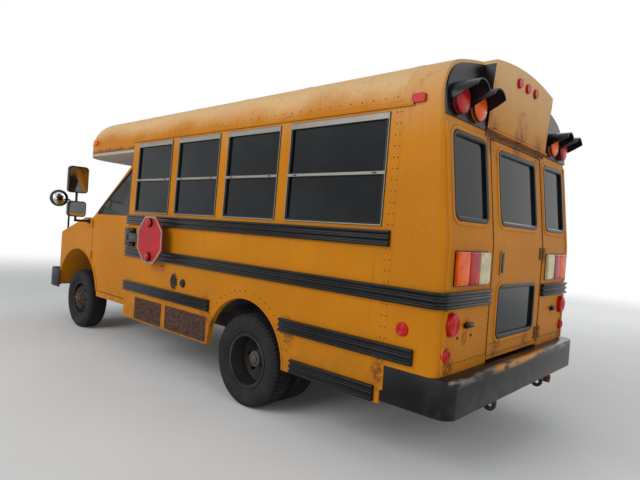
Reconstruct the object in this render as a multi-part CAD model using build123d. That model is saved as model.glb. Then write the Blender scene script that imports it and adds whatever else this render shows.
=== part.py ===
"""Short school bus on a cutaway van chassis, as named pieces in one frame.

Units are millimetres. +X is the left of the bus, -Y its front, +Z up, and the ground is Z 0.
The origin is on the ground below the middle of the bus.
"""
from build123d import *
import math
import os

# Overall length, from the front bumper's face to the rear bumper's back
LENGTH = 6210
WHEELBASE = 3531
REAR_OVERHANG = 1812
BUMPER_STEP = 100
REAR_END_Y = LENGTH / 2
FRONT_END_Y = -LENGTH / 2
REAR_AXLE_Y = REAR_END_Y - REAR_OVERHANG
FRONT_AXLE_Y = REAR_AXLE_Y - WHEELBASE
REAR_WALL_Y = REAR_END_Y - BUMPER_STEP

# Passenger body: flat sides to the belt, then a slight lean inwards up to the eaves
HALF_W = 1125
WALL = 40
SKIRT_Z = 410
BELT_Z = 1490
EAVE_Z = 2250
SIDE_LEAN = 0.025
ROOF_CORNER_R = 320
ROOF_CROWN_R = 3000
EAVE_STRIP = 12
BODY_SETBACK = 1523
REAR_CAP_LENGTH = 380
REAR_BELT_Z = 1445
REAR_LEAN = 0.111
REAR_CORNER_R = 60
REAR_LOW_Z = 655
BODY_FRONT_Y = FRONT_AXLE_Y + BODY_SETBACK
REAR_CAP_Y = REAR_WALL_Y - REAR_CAP_LENGTH
EAVE_HALF_W = HALF_W - SIDE_LEAN * (EAVE_Z - BELT_Z)
CORNER_X = EAVE_HALF_W - ROOF_CORNER_R
CORNER_Z = EAVE_Z + EAVE_STRIP
CROWN_Z = CORNER_Z - math.sqrt((ROOF_CROWN_R - ROOF_CORNER_R) ** 2 - CORNER_X ** 2)
ROOF_Z = CROWN_Z + ROOF_CROWN_R

# Floor and wheel housings
FLOOR_Z = 740
FLOOR_THICK = 40
FLOOR_REAR_GAP = 10
ARCH_R = 470
ARCH_Z = 400
ARCH_Y = REAR_AXLE_Y - 13
HOUSING_SHEET = 12
HOUSING_INNER_X = 575

# Side windows, front to back, in one row below the eaves
WINDOW_LOW_Z = 1510
WINDOW_TOP_Z = 2230
WINDOW_WIDTHS = (645, 645, 645, 885)
WINDOW_PILLAR = 110
WINDOW_SETBACK = 125
WINDOW_BAR_Z = 1847
WINDOW_HALF_BAR = 13
WINDOW_HEADER = 45
FRAME_LIP = 24
FRAME_PROUD = 6
FRAME_DEPTH = 30
GLASS = 6
SEAT_GAP = 0.3

# Rub rails: middle height, then front and back ends measured from the body's front
RAIL_HEIGHT = 98
RAIL_DEPTH = 28
RAIL_RIBS = 3
RAIL_WRAP_X = 490
SIDE_RAILS = (
    (1437, 0, 3345),
    (745, 0, 1526),
    (745, 2418, 3565),
    (466, 2559, 3302),
)
WRAP_RAIL_Z = 1100

# Vent grilles in the left skirt: front end from the body's front, and length
VENTS = ((270, 480), (838, 648))
VENT_LOW_Z = 430
VENT_HEIGHT = 210
VENT_FRAME = 22
VENT_BAR = 8
VENT_PITCH = 54

# Wheels and tyres
TYRE_R = 372
TYRE_W = 223
BEAD_R = 203.5
BEAD_HALF_W = 82
RIM_LIP_R = 218.5
RIM_SHEET = 9
FRONT_TRACK_X = 855
TWIN_OUTER_X = 990
TWIN_INNER_X = 735
HUB_R = 62
HAND_HOLES = 8
HAND_HOLE_R = 17
HAND_HOLE_SPOT_R = 154

# Steering and front suspension
KINGPIN_X = 760
KINGPIN_R = 22
PIN_FIT = 0.3
FRONT_ARCH_R = 580
FRONT_ARCH_Z = 430
LINER_X = 500
LINER_LOW_Z = 500

# Ladder frame
RAIL_X = 435
RAIL_FLANGE = 60
RAIL_H = 160
RAIL_WEB = 8
FRAME_TOP_Z = FLOOR_Z - FLOOR_THICK

# Cab
CAB_HALF_W = 1000
CAB_SHEET = 30
CAB_SILL_Z = 480
CAB_BELT_Z = 1420
CAB_TOP_Z = 2150
CAB_TOP_HALF_W = 890
NOSE_Y = FRONT_END_Y + 115
COWL_Y = FRONT_AXLE_Y + 158
HEADER_Y = FRONT_AXLE_Y + 998
NOSE_CORNER_R = 220
WINDSCREEN_CORNER_R = 260
PANEL_GAP = 6
DOOR_THICK = 40
DOOR_GAP = 10
FIREWALL_Y = FRONT_AXLE_Y + 370
DOOR_FRONT_Y = FRONT_AXLE_Y + 388
DOOR_REAR_Y = BODY_FRONT_Y - 45
DOOR_LOW_Z = 550
DOOR_TOP_Z = 2080

# Front roof cap
CAP_LOW_Z = 2180
CAP_CORNER_R = 420
CAP_FRONT_R = 3000
CAP_CORNER_Y = FRONT_AXLE_Y + 588
SOFFIT = 30

# Rear door and windows
REAR_DOOR_HALF_W = 459
REAR_DOOR_LOW_Z = 673
REAR_DOOR_TOP_Z = 2145
REAR_DOOR_GAP = 10
REAR_GLASS_HALF_W = 337
REAR_GLASS_R = 45
REAR_DOOR_PANES = ((1588, 2083), (809, 1156))
REAR_SIDE_PANE = (547, 989, 1586, 2105)

# Licence plate holes, left of the rear door
PLATE_X = 805
PLATE_Z = 867
PLATE_SPACING = 178
PLATE_HOLE_R = 4

# Entry door on the right
PORTAL_FRONT_Y = FRONT_AXLE_Y + 608
PORTAL_REAR_Y = BODY_FRONT_Y
PORTAL_POST = 70
PORTAL_DEPTH = 90
PORTAL_LOW_Z = 380
ENTRY_LOW_Z = 430
ENTRY_TOP_Z = 2110
LEAF_THICK = 34
LEAF_GAP = 12

# Door hinges: upright barrels standing off the panel's face
HINGE_R = 8
HINGE_PIN_R = 3.5
HINGE_AXIS = 12
HINGE_L = 90
HINGE_PLAY = 0.5
HINGE_PLATE = 6
HINGE_REACH = 28

# Each door's hinges: x and y of the pin's foot on the panel's face, turn of that face about Z,
# the side of the pin that the door lies on, and the middle heights
HINGE_SETS = {
    "rear": (-REAR_DOOR_HALF_W - REAR_DOOR_GAP / 2, REAR_WALL_Y, 0, 1, (763, 1390)),
    "cab": (CAB_HALF_W, DOOR_FRONT_Y - DOOR_GAP / 2, -90, -1, (960, 1340)),
    "entry_front": (-CAB_HALF_W, PORTAL_FRONT_Y + PORTAL_POST + PANEL_GAP / 2, 90, 1, (560, 1270, 1980)),
    "entry_rear": (-CAB_HALF_W, PORTAL_REAR_Y - PORTAL_POST - PANEL_GAP / 2, 90, -1, (560, 1270, 1980)),
}

# Bumpers
BUMPER_LOW_Z = 430
BUMPER_SHEET = 12
FRONT_BUMPER_TOP_Z = 700
FRONT_BUMPER_LOW_Z = 450
BUMPER_CORNER_R = 90

# Stop sign on the left side
SIGN_FLATS = 457
SIGN_Y = BODY_FRONT_Y + 645
SIGN_Z = 1255
SIGN_X = HALF_W + 101
SIGN_THICK = 14
SIGN_HINGE_Y = BODY_FRONT_Y + 170
SIGN_HINGE_X = HALF_W + 52

SIGN_LAMP_Z = 165
SIGN_LAMP_R = 42

# Frame, engine and driveline
CHASSIS_FRONT_Y = NOSE_Y + 70
CHASSIS_REAR_Y = REAR_WALL_Y - WALL - 20
MEMBER_W = 60
MEMBER_H = 90
CRADLE_W = 120
ENGINE_W = 520
ENGINE_FRONT_Y = FRONT_AXLE_Y - 420
ENGINE_REAR_Y = FRONT_AXLE_Y + 340
ENGINE_LOW_Z = 560
ENGINE_TOP_Z = 1060
GEARBOX = 800
GEARBOX_Z = 560
BELL_R = 120
BELL_L = 260
GEARBOX_R = 90
PROP_R = 38
AXLE_R = 48
DIFF_R = 150
BRAKE_X = 611
DRUM_R = 170
DRUM_W = 80
SPINDLE_R = 36
SPINDLE_END_X = 800
HUB_RECESS = 108
SPRING_X = 500
SPRING_W = 70
SPRING_Z = 450
SPRING_HALF = 640
EYE_R = 42
EYE_HALF = 44
YOKE = 18
YOKE_GAP = 5
STUB_R = 26
STUB_END_X = 915
BEAM_END_X = 300
COIL_R = 50
COIL_X = 560
DISH_DEPTH = 66
DISC_FLAT_R = 115
FRONT_DISC_FACE = 100
BRAKE_DISC_R = 160
TANK_INNER_X = 80
TANK_LOW_Z = 340
TANK_R = 50
TANK_L = 1400
EXHAUST_X = 250
EXHAUST_Z = 505
PIPE_R = 32
SILENCER_R = 85
SILENCER_L = 620
TAIL_X = 620
TAIL_Z = 380
TOW_R = 20
TOW_THICK = 24
TOW_SETBACK = 60
TOW_Z = 385

# Inside
COLUMN_X = 520
COLUMN_R = 26
COLUMN_TILT = 35
COLUMN_BASE_Z = 1200
STEER_SHAFT_R = 13
DRIVER_SEAT_H = 350
DRIVER_SEAT_W = 500
COLUMN_LENGTH = 230
STEER_R = 195
BENCH_X = 680
BENCH_W = 760
BENCH_D = 390
BENCH_Z = 1080
BENCH_BACK = 560
BENCH_ROWS = 5
BENCH_PITCH = 690
BENCH_SETBACK = 620
LEAF_RIM = 45

# Warning lamps: x of the amber and the red one on the left half, at the rear and at the front
WARN_R = 89
WARN_Z = 2300
WARN_X = {"rear": (710, 945), "front": (600, 812)}
WARN_LENS = 22
HOOD_DEPTH = 150
HOOD_ROOT = 60
HOOD_GAP = 5
HOOD_SHEET = 8
HOOD_CUT = (-25, 50)
POD = 12
POD_LOW_Z = 2188
POD_EDGE = 24
CHEEK = 4
FRONT_POD = (490, 930, 2196, 2420)

# Box that carries the rear sign: half width, heights, and how far its face stands off the wall
CENTRE_HALF_W = 546
CENTRE_Z = (2195, 2700)
CENTRE_PROUD = (16, 108)
LEDGE = 20
LEDGE_THICK = 8
SIGN_SHEET = 3
REAR_SIGN_HALF_W = 525
REAR_SIGN_Z = (2222, 2520)
FRONT_SIGN_HALF_W = 470
FRONT_SIGN_Z = (2215, 2410)

# Other lamps: x or y and height of each, with its radius and how far it stands proud
TAIL_LAMP = (554, 995, 1186, 1388)
TAIL_LAMP_PROUD = 24
REAR_ROUND_LAMPS = ((990, 957, 67, 26), (1035, 778, 41, 12))
SIDE_REFLECTOR = (REAR_WALL_Y - 242, 899, 40, 10)
MARKER_R = 34
MARKER_PROUD = 20
REAR_MARKERS = ((0, 2592), (155, 2592))
FRONT_MARKERS = ((0, 2560), (155, 2560))
EDGE_MARKER = (46, 26, 14)
REAR_EDGE_MARKER = (REAR_WALL_Y - 245, 2290)
FRONT_EDGE_MARKER = (FRONT_AXLE_Y + 598, 2307)
HEADLAMP = (470, 735, 830, 1020)
GRILLE_HALF_W = 760
GRILLE_Z = (800, 1050)
GRILLE_HOLE = (430, 825, 1025)
GRILLE_SLATS = 4
SLAT_HALF = 7

# Fuel filler's door and cap on the left skirt: y, height, half width, half height and corner
FILLERS = ((235, 886, 52, 72, 44), (375, 887, 31, 31, 30))
FILLER_PROUD = 5

# Pull of the rear door: x and height of its pocket, left of the middle
PULL = (292, 348, 1240, 1402)
PULL_RIM = 8
PULL_DEPTH = 24

# Mirrors: arms, stalks and heads on the left
MIRROR_Y = FRONT_AXLE_Y + 290
MIRROR_DEPTH = 56
MIRROR_ARM_R = 14
MIRROR_ARM_Z = 1375
MIRROR_STALK_X = CAB_HALF_W + 170
MIRROR_HEADS = (
    (CAB_HALF_W + 60, CAB_HALF_W + 290, 1710, 2030),
    (CAB_HALF_W + 70, CAB_HALF_W + 280, 1420, 1610),
)


def block(x0, x1, y0, y1, z0, z1):
    """Block between two opposite corners."""
    middle = Pos((x0 + x1) / 2, (y0 + y1) / 2, (z0 + z1) / 2)
    return middle * Box(abs(x1 - x0), abs(y1 - y0), abs(z1 - z0))


def across(points, x0, x1):
    """Outline of (y, z) points carried along X."""
    face = make_face(Polyline([(x0, y, z) for y, z in points], close=True))
    return extrude(face, abs(x1 - x0), dir=(math.copysign(1, x1 - x0), 0, 0))


def along(points, y0, y1):
    """Outline of (x, z) points carried along Y."""
    face = make_face(Polyline([(x, y0, z) for x, z in points], close=True))
    return extrude(face, abs(y1 - y0), dir=(0, math.copysign(1, y1 - y0), 0))


def upright(points, z0, z1):
    """Outline of (x, y) points carried up from z0 to z1."""
    face = make_face(Polyline([(x, y, z0) for x, y in points], close=True))
    return extrude(face, z1 - z0, dir=(0, 0, 1))


def round_across(y0, y1, z0, z1, radius, x0, x1):
    """Rounded rectangle in Y and Z, carried along X."""
    plane = Plane(origin=(x0, (y0 + y1) / 2, (z0 + z1) / 2), x_dir=(0, 1, 0), z_dir=(1, 0, 0))
    return extrude(plane * RectangleRounded(y1 - y0, z1 - z0, radius), x1 - x0)


def round_along(x0, x1, z0, z1, radius, y0, y1):
    """Rounded rectangle in X and Z, carried along Y."""
    plane = Plane(origin=((x0 + x1) / 2, y0, (z0 + z1) / 2), x_dir=(-1, 0, 0), z_dir=(0, 1, 0))
    return extrude(plane * RectangleRounded(x1 - x0, z1 - z0, radius), y1 - y0)


def round_rect_up(x0, x1, y0, y1, radius, z0, z1):
    """Rounded rectangle in X and Y, carried up."""
    plan = Pos((x0 + x1) / 2, (y0 + y1) / 2, z0) * RectangleRounded(x1 - x0, y1 - y0, radius)
    return extrude(plan, z1 - z0)


def rod_x(radius, x0, x1, y, z):
    """Round bar along X."""
    return Pos((x0 + x1) / 2, y, z) * Rot(0, 90, 0) * Cylinder(radius, x1 - x0)


def rod_y(radius, x, y0, y1, z):
    """Round bar along Y."""
    return Pos(x, (y0 + y1) / 2, z) * Rot(90, 0, 0) * Cylinder(radius, y1 - y0)


def rod_z(radius, x, y, z0, z1):
    """Round bar along Z."""
    return Pos(x, y, (z0 + z1) / 2) * Cylinder(radius, z1 - z0)


def mirrored(shape):
    """The same shape on the other side of the bus."""
    return mirror(shape, about=Plane.YZ)


def both_sides(shape):
    """A shape and its mirror image, as separate solids."""
    return [shape, mirrored(shape)]


def group(shapes):
    """Solids that don't touch, kept as one piece."""
    solids = []
    for shape in shapes:
        solids.extend(shape.solids())
    return Compound(children=solids)


def body_prism(inset, y0, y1):
    """The body's whole cross-section above the skirt line, inset from its skin, from y0 to y1."""
    low_z = SKIRT_Z - inset
    corner_r = ROOF_CORNER_R - inset
    crown_r = ROOF_CROWN_R - inset
    side = HALF_W - inset
    eave = EAVE_HALF_W - inset
    reach = math.hypot(CORNER_X, CORNER_Z - CROWN_Z)
    out_x = CORNER_X / reach
    out_z = (CORNER_Z - CROWN_Z) / reach
    start = (eave, y0, CORNER_Z)
    join = (crown_r * out_x, y0, CROWN_Z + crown_r * out_z)
    turn = (math.atan2(out_z, out_x)) / 2
    middle = (CORNER_X + corner_r * math.cos(turn), y0, CORNER_Z + corner_r * math.sin(turn))
    crown = (0, y0, CROWN_Z + crown_r)
    other = (-join[0], y0, join[2])
    other_middle = (-middle[0], y0, middle[2])
    other_start = (-start[0], y0, start[2])
    edges = [
        Line((-side, y0, low_z), (side, y0, low_z)),
        Line((side, y0, low_z), (side, y0, BELT_Z)),
        Line((side, y0, BELT_Z), (eave, y0, EAVE_Z)),
        Line((eave, y0, EAVE_Z), start),
        ThreePointArc(start, middle, join),
        ThreePointArc(join, crown, other),
        ThreePointArc(other, other_middle, other_start),
        Line(other_start, (-eave, y0, EAVE_Z)),
        Line((-eave, y0, EAVE_Z), (-side, y0, BELT_Z)),
        Line((-side, y0, BELT_Z), (-side, y0, low_z)),
    ]
    return extrude(make_face(edges), y1 - y0, dir=(0, 1, 0))


def side_layer(outer, inner, y0, y1):
    """Layer that follows the left side's skin, from outer to inner millimetres off it."""
    top = EAVE_HALF_W
    points = (
        (HALF_W + outer, SKIRT_Z),
        (HALF_W + outer, BELT_Z),
        (top + outer, EAVE_Z),
        (top + inner, EAVE_Z),
        (HALF_W + inner, BELT_Z),
        (HALF_W + inner, SKIRT_Z),
    )
    return along(points, y0, y1)


def rear_y(z):
    """Place of the rear wall's skin at a height."""
    return REAR_WALL_Y - REAR_LEAN * max(0, z - REAR_BELT_Z)


def rear_layer(outer, inner, z0, z1, half_width):
    """Layer that follows the rear wall's skin, from outer to inner millimetres off it."""
    heights = [z0]
    if z0 < REAR_BELT_Z < z1:
        heights.append(REAR_BELT_Z)
    heights.append(z1)
    points = [(rear_y(z) + outer, z) for z in heights]
    points += [(rear_y(z) + inner, z) for z in reversed(heights)]
    return across(points, -half_width, half_width)


def rear_volume(inset, low_z):
    """The rear end as a full volume, inset from its skin."""
    prism = body_prism(inset, REAR_CAP_Y, REAR_END_Y)
    prism &= block(-HALF_W, HALF_W, REAR_CAP_Y, REAR_END_Y, low_z, ROOF_Z)
    radius = REAR_CORNER_R - inset / 2
    side = HALF_W - inset
    back = REAR_WALL_Y - inset
    front = REAR_CAP_Y
    floor = low_z
    ceiling = ROOF_Z + WALL

    def plan(z):
        edges = [
            Line((-side, front, z), (side, front, z)),
            Line((side, front, z), (side, back - radius, z)),
            RadiusArc((side, back - radius, z), (side - radius, back, z), -radius),
            Line((side - radius, back, z), (-side, back, z)),
            Line((-side, back, z), (-side, front, z)),
        ]
        return make_face(edges)

    low = extrude(plan(floor), REAR_BELT_Z - floor, dir=(0, 0, 1))
    rise = ceiling - REAR_BELT_Z
    lean = Vector(0, -REAR_LEAN, 1)
    high = extrude(plan(REAR_BELT_Z), rise * lean.length, dir=tuple(lean))
    left = low + high
    return prism & left & mirrored(left)


def rear_wall():
    """Rear end panel with its roof, corners, door opening and two windows."""
    shell = rear_volume(0, REAR_LOW_Z) - rear_volume(WALL, REAR_LOW_Z - WALL)
    door_half = REAR_DOOR_HALF_W + REAR_DOOR_GAP
    deep = REAR_CAP_LENGTH
    y0 = REAR_WALL_Y - deep + WALL
    shell -= block(-door_half, door_half, y0, REAR_END_Y, REAR_LOW_Z, REAR_DOOR_TOP_Z + REAR_DOOR_GAP)
    x0, x1, z0, z1 = REAR_SIDE_PANE
    pane = round_along(x0, x1, z0, z1, REAR_GLASS_R, y0, REAR_END_Y)
    for hole in both_sides(pane):
        shell -= hole
    for x in (PLATE_X - PLATE_SPACING / 2, PLATE_X + PLATE_SPACING / 2):
        shell -= rod_y(PLATE_HOLE_R, x, REAR_WALL_Y - 2 * WALL, REAR_END_Y, PLATE_Z)
    return shell + hinge_half("rear", False)


def window_spans():
    """Front and back edge of each side window."""
    spans = []
    y = BODY_FRONT_Y + WINDOW_SETBACK
    for width in WINDOW_WIDTHS:
        spans.append((y, y + width))
        y += width + WINDOW_PILLAR
    return spans


def vent_spans():
    """Front and back edge of each vent in the left skirt."""
    return [(BODY_FRONT_Y + y, BODY_FRONT_Y + y + length) for y, length in VENTS]


def side_wall():
    """Left side wall with a front return, window openings and the wheel arch."""
    wall = side_layer(0, -WALL, BODY_FRONT_Y, REAR_CAP_Y)
    front = body_prism(0, BODY_FRONT_Y, BODY_FRONT_Y + WALL)
    inner = CAB_HALF_W - CAB_SHEET
    wall += front & block(inner, HALF_W, BODY_FRONT_Y, BODY_FRONT_Y + WALL, SKIRT_Z, EAVE_Z)
    for y0, y1 in window_spans():
        wall -= block(HALF_W - 3 * WALL, HALF_W + WALL, y0, y1, WINDOW_LOW_Z, WINDOW_TOP_Z)
    wall -= rod_x(ARCH_R, HALF_W - 2 * WALL, HALF_W + WALL, ARCH_Y, ARCH_Z)
    return wall


def hinge_half(name, moving):
    """One half of a door's hinges: the pins with their end barrels, or the door's middle barrels."""
    x, y, turn, side, heights = HINGE_SETS[name]
    third = HINGE_L / 6
    reach = side * HINGE_REACH if moving else -side * HINGE_REACH
    shape = None
    for z in heights:
        spans = ((-3 * third, -third - HINGE_PLAY), (third + HINGE_PLAY, 3 * third))
        if moving:
            spans = ((-third, third),)
        piece = None
        for low, high in spans:
            barrel = rod_z(HINGE_R, 0, HINGE_AXIS, z + low, z + high)
            barrel += block(0, reach, 0, HINGE_PLATE, z + low, z + high)
            piece = barrel if piece is None else piece + barrel
        if moving:
            piece -= rod_z(HINGE_PIN_R + PIN_FIT, 0, HINGE_AXIS, z - 2 * third, z + 2 * third)
        else:
            piece += rod_z(HINGE_PIN_R, 0, HINGE_AXIS, z - 2 * third, z + 2 * third)
        shape = piece if shape is None else shape + piece
    return Pos(x, y, 0) * Rot(0, 0, turn) * shape


def left_wall():
    """Left side wall, with its vent openings and the fuel filler."""
    wall = side_wall()
    for y0, y1 in vent_spans():
        wall -= block(HALF_W - 2 * WALL, HALF_W + WALL, y0, y1, VENT_LOW_Z, VENT_LOW_Z + VENT_HEIGHT)
    proud = HALF_W + FILLER_PROUD
    for y, z, half_y, half_z, radius in FILLERS:
        wall += round_across(y - half_y, y + half_y, z - half_z, z + half_z, radius, HALF_W, proud)
    return wall


def roof_shell():
    """Roof between the front and rear caps, with the drip rail along each eave."""
    shell = body_prism(0, BODY_FRONT_Y, REAR_CAP_Y)
    shell -= body_prism(WALL, BODY_FRONT_Y - WALL, REAR_CAP_Y + WALL)
    low = block(-HALF_W, HALF_W, BODY_FRONT_Y - WALL, REAR_CAP_Y + WALL, 0, EAVE_Z)
    shell -= low
    strip = block(EAVE_HALF_W, EAVE_HALF_W + 16, BODY_FRONT_Y, REAR_CAP_Y + 101, EAVE_Z, CORNER_Z)
    for side in both_sides(strip):
        shell += side
    return shell


def body_floor():
    """Floor, wheel housings, entry steps and the cab's floor and firewall."""
    side = HALF_W - WALL
    rear = REAR_WALL_Y - WALL - FLOOR_REAR_GAP
    floor = block(-side, side, BODY_FRONT_Y + WALL, rear, FRAME_TOP_Z, FLOOR_Z)
    outer_r = ARCH_R + HOUSING_SHEET
    for sign in (1, -1):
        x0 = sign * HOUSING_INNER_X
        x1 = sign * side
        low, high = sorted((x0, x1))
        drum = rod_x(outer_r, low, high, ARCH_Y, ARCH_Z)
        drum -= block(low, high, ARCH_Y - outer_r, ARCH_Y + outer_r, ARCH_Z - outer_r, FRAME_TOP_Z)
        floor += drum
        low, high = sorted((x0 + sign * HOUSING_SHEET, x1 + sign * WALL))
        floor -= rod_x(ARCH_R, low, high, ARCH_Y, ARCH_Z)
    for sign in (1, -1):
        low, high = sorted((sign * (side - REAR_CORNER_R), sign * side))
        floor -= block(low, high, rear - REAR_CORNER_R, rear, FRAME_TOP_Z, FLOOR_Z)
    cab_side = CAB_HALF_W - DOOR_THICK - PANEL_GAP
    plate = block(-LINER_X, cab_side, FIREWALL_Y, BODY_FRONT_Y + WALL, FRAME_TOP_Z, FLOOR_Z)
    cheek_y = PORTAL_FRONT_Y + PORTAL_POST - HOUSING_SHEET
    plate += block(-cab_side, -LINER_X, FIREWALL_Y, PORTAL_FRONT_Y, FRAME_TOP_Z, FLOOR_Z)
    plate += block(PORTAL_DEPTH - CAB_HALF_W, -LINER_X, PORTAL_FRONT_Y, cheek_y, FRAME_TOP_Z, FLOOR_Z)
    floor += plate
    for sign in (1, -1):
        low, high = sorted((sign * LINER_X, sign * CAB_HALF_W))
        floor -= rod_x(FRONT_ARCH_R + HOUSING_SHEET, low, high, FRONT_AXLE_Y, FRONT_ARCH_Z)
    return floor + entry_steps()


def entry_steps():
    """Stepwell inside the entry door: two treads, a riser and its front and rear cheeks."""
    y0 = PORTAL_FRONT_Y + PORTAL_POST - HOUSING_SHEET
    y1 = PORTAL_REAR_Y + WALL
    outer = -(CAB_HALF_W - PORTAL_DEPTH)
    tread = 200
    rise = (FLOOR_Z - ENTRY_LOW_Z) / 2
    x0 = -LINER_X
    step_x = x0 - tread
    sheet = HOUSING_SHEET
    well = block(outer, step_x, y0, y1, ENTRY_LOW_Z - sheet, ENTRY_LOW_Z)
    well += block(step_x, step_x + sheet, y0, y1, ENTRY_LOW_Z - sheet, ENTRY_LOW_Z + rise)
    well += block(step_x, x0, y0, y1, ENTRY_LOW_Z + rise - sheet, ENTRY_LOW_Z + rise)
    well += block(x0, x0 + sheet, y0, y1, ENTRY_LOW_Z + rise - sheet, FLOOR_Z)
    well += block(outer, x0, y0, y0 + sheet, ENTRY_LOW_Z - sheet, FLOOR_Z)
    well += block(outer, x0, y1 - sheet, y1, ENTRY_LOW_Z - sheet, FLOOR_Z)
    return well


def window_frame(y0, y1):
    """Silver frame of one side window on the left, with the bar between its panes."""
    gap = SEAT_GAP
    layer = side_layer(FRAME_PROUD, FRAME_PROUD - FRAME_DEPTH, y0 + gap, y1 - gap)
    x0 = HALF_W - 3 * WALL
    x1 = HALF_W + WALL
    ring = block(x0, x1, y0 + gap, y1 - gap, WINDOW_LOW_Z + gap, WINDOW_TOP_Z - gap)
    lip = FRAME_LIP
    ring -= block(x0, x1, y0 + lip, y1 - lip, WINDOW_LOW_Z + lip, WINDOW_BAR_Z - WINDOW_HALF_BAR)
    ring -= block(x0, x1, y0 + lip, y1 - lip, WINDOW_BAR_Z + WINDOW_HALF_BAR, WINDOW_TOP_Z - WINDOW_HEADER)
    return layer & ring


def window_pane(y0, y1):
    """Two panes of one side window on the left, seated in the frame."""
    inner = -FRAME_DEPTH / 2
    layer = side_layer(inner + GLASS, inner, y0, y1)
    x0 = HALF_W - 3 * WALL
    x1 = HALF_W + WALL
    edge = FRAME_LIP + SEAT_GAP
    half_bar = WINDOW_HALF_BAR + SEAT_GAP
    top = WINDOW_TOP_Z - WINDOW_HEADER - SEAT_GAP
    low = block(x0, x1, y0 + edge, y1 - edge, WINDOW_LOW_Z + edge, WINDOW_BAR_Z - half_bar)
    high = block(x0, x1, y0 + edge, y1 - edge, WINDOW_BAR_Z + half_bar, top)
    return [layer & low, layer & high]


def rear_side_pane():
    """Rear window beside the door on the left, glazed in a rubber seal."""
    x0, x1, z0, z1 = REAR_SIDE_PANE
    gap = SEAT_GAP
    hole = round_along(x0 + gap, x1 - gap, z0 + gap, z1 - gap, REAR_GLASS_R, REAR_CAP_Y, REAR_END_Y)
    return rear_layer(-12, -12 - GLASS, z0, z1, HALF_W) & hole


def rail_section(height_z):
    """Ribbed outline of a rub rail as (depth, z) points off the skin."""
    low = height_z - RAIL_HEIGHT / 2
    pitch = RAIL_HEIGHT / (2 * RAIL_RIBS - 1)
    groove = RAIL_DEPTH * 0.55
    points = [(0, low)]
    for rib in range(RAIL_RIBS):
        z0 = low + 2 * rib * pitch
        z1 = z0 + pitch
        points += [(RAIL_DEPTH - 4, z0), (RAIL_DEPTH, z0 + 4), (RAIL_DEPTH, z1 - 4), (RAIL_DEPTH - 4, z1)]
        if rib < RAIL_RIBS - 1:
            points += [(groove, z1 + 2), (groove, z1 + pitch - 2)]
    points.append((0, low + RAIL_HEIGHT))
    return points


def side_rail(height_z, y0, y1):
    """Straight rub rail on the left side."""
    return along([(HALF_W + depth, z) for depth, z in rail_section(height_z)], y0, y1)


def wrap_rail():
    """Middle rub rail: along the left side, round the corner and on to the rear wall."""
    section = rail_section(WRAP_RAIL_Z)
    corner_y = REAR_WALL_Y - REAR_CORNER_R
    corner_x = HALF_W - REAR_CORNER_R
    straight = along([(HALF_W + depth, z) for depth, z in section], BODY_FRONT_Y, corner_y)
    face = make_face(Polyline([(HALF_W + d, corner_y, z) for d, z in section], close=True))
    bend = revolve(face, axis=Axis((corner_x, corner_y, 0), (0, 0, 1)), revolution_arc=90)
    back = across([(REAR_WALL_Y + depth, z) for depth, z in section], RAIL_WRAP_X, corner_x)
    return straight + bend + back


def rub_rails():
    """Rub rails of both sides."""
    rails = [wrap_rail()]
    for height_z, y0, y1 in SIDE_RAILS:
        rails.append(side_rail(height_z, BODY_FRONT_Y + y0, BODY_FRONT_Y + y1))
    shapes = []
    for rail in rails:
        shapes += both_sides(rail)
    return group(shapes)


def vent_grille(y0, y1):
    """One skirt grille: a frame filled by crossed diagonal bars."""
    x0 = HALF_W - 18
    x1 = HALF_W - 4
    z0 = VENT_LOW_Z
    z1 = VENT_LOW_Z + VENT_HEIGHT
    rim = VENT_FRAME
    gap = SEAT_GAP
    frame = block(x0, x1, y0 + gap, y1 - gap, z0 + gap, z1 - gap)
    hole = block(x0, x1, y0 + rim, y1 - rim, z0 + rim, z1 - rim)
    frame -= hole
    height = z1 - z0
    thick = VENT_BAR / 2
    bars = None
    count = int((y1 - y0 + height) / VENT_PITCH)
    for lean in (1, -1):
        for step in range(1, count + 1):
            foot = y0 - height + step * VENT_PITCH if lean > 0 else y0 + step * VENT_PITCH
            head = foot + lean * height
            corners = ((foot - thick, z0), (foot + thick, z0), (head + thick, z1), (head - thick, z1))
            bar = across(corners, x0 + 5, x1 - 5)
            bars = bar if bars is None else bars + bar
    return frame + (bars & hole)


def vent_grilles():
    """The two skirt grilles."""
    return group([vent_grille(y0, y1) for y0, y1 in vent_spans()])


def cab_volume(inset):
    """Cab and nose as a full volume, inset from the skin."""
    side = CAB_HALF_W - inset
    nose = NOSE_Y + inset
    back = BODY_FRONT_Y
    low = CAB_SILL_Z if inset == 0 else CAB_SILL_Z - CAB_SHEET
    belt = CAB_BELT_Z - inset if inset else CAB_BELT_Z
    profile = (
        (back, low),
        (back, belt),
        (COWL_Y + inset, belt),
        (NOSE_Y + 190 + inset, 1205 - inset),
        (NOSE_Y + 70 + inset, 1150 - inset),
        (nose, 1060 - inset),
        (nose, low),
    )
    radius = NOSE_CORNER_R - inset
    plan = round_rect_up(-side, side, nose, back + radius, radius, low, belt)
    body = across(profile, -side, side) & plan
    rise = CAB_TOP_Z - CAB_BELT_Z
    screen_r = WINDSCREEN_CORNER_R - inset
    low_z = belt - (CAB_SHEET if inset else 0)
    top_z = CAB_TOP_Z + (CAB_SHEET if inset else 0)
    sections = []
    for z in (low_z, top_z):
        share = (z - CAB_BELT_Z) / rise
        half = CAB_HALF_W - (CAB_HALF_W - CAB_TOP_HALF_W) * share - inset
        front = COWL_Y + (HEADER_Y - COWL_Y) * share + inset
        length = back + screen_r - front
        sections.append(Pos(0, front + length / 2, z) * RectangleRounded(2 * half, length, screen_r))
    glasshouse = loft(sections, ruled=True)
    glasshouse -= block(-HALF_W, HALF_W, back, back + 2 * screen_r, 0, ROOF_Z)
    return body + glasshouse


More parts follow.
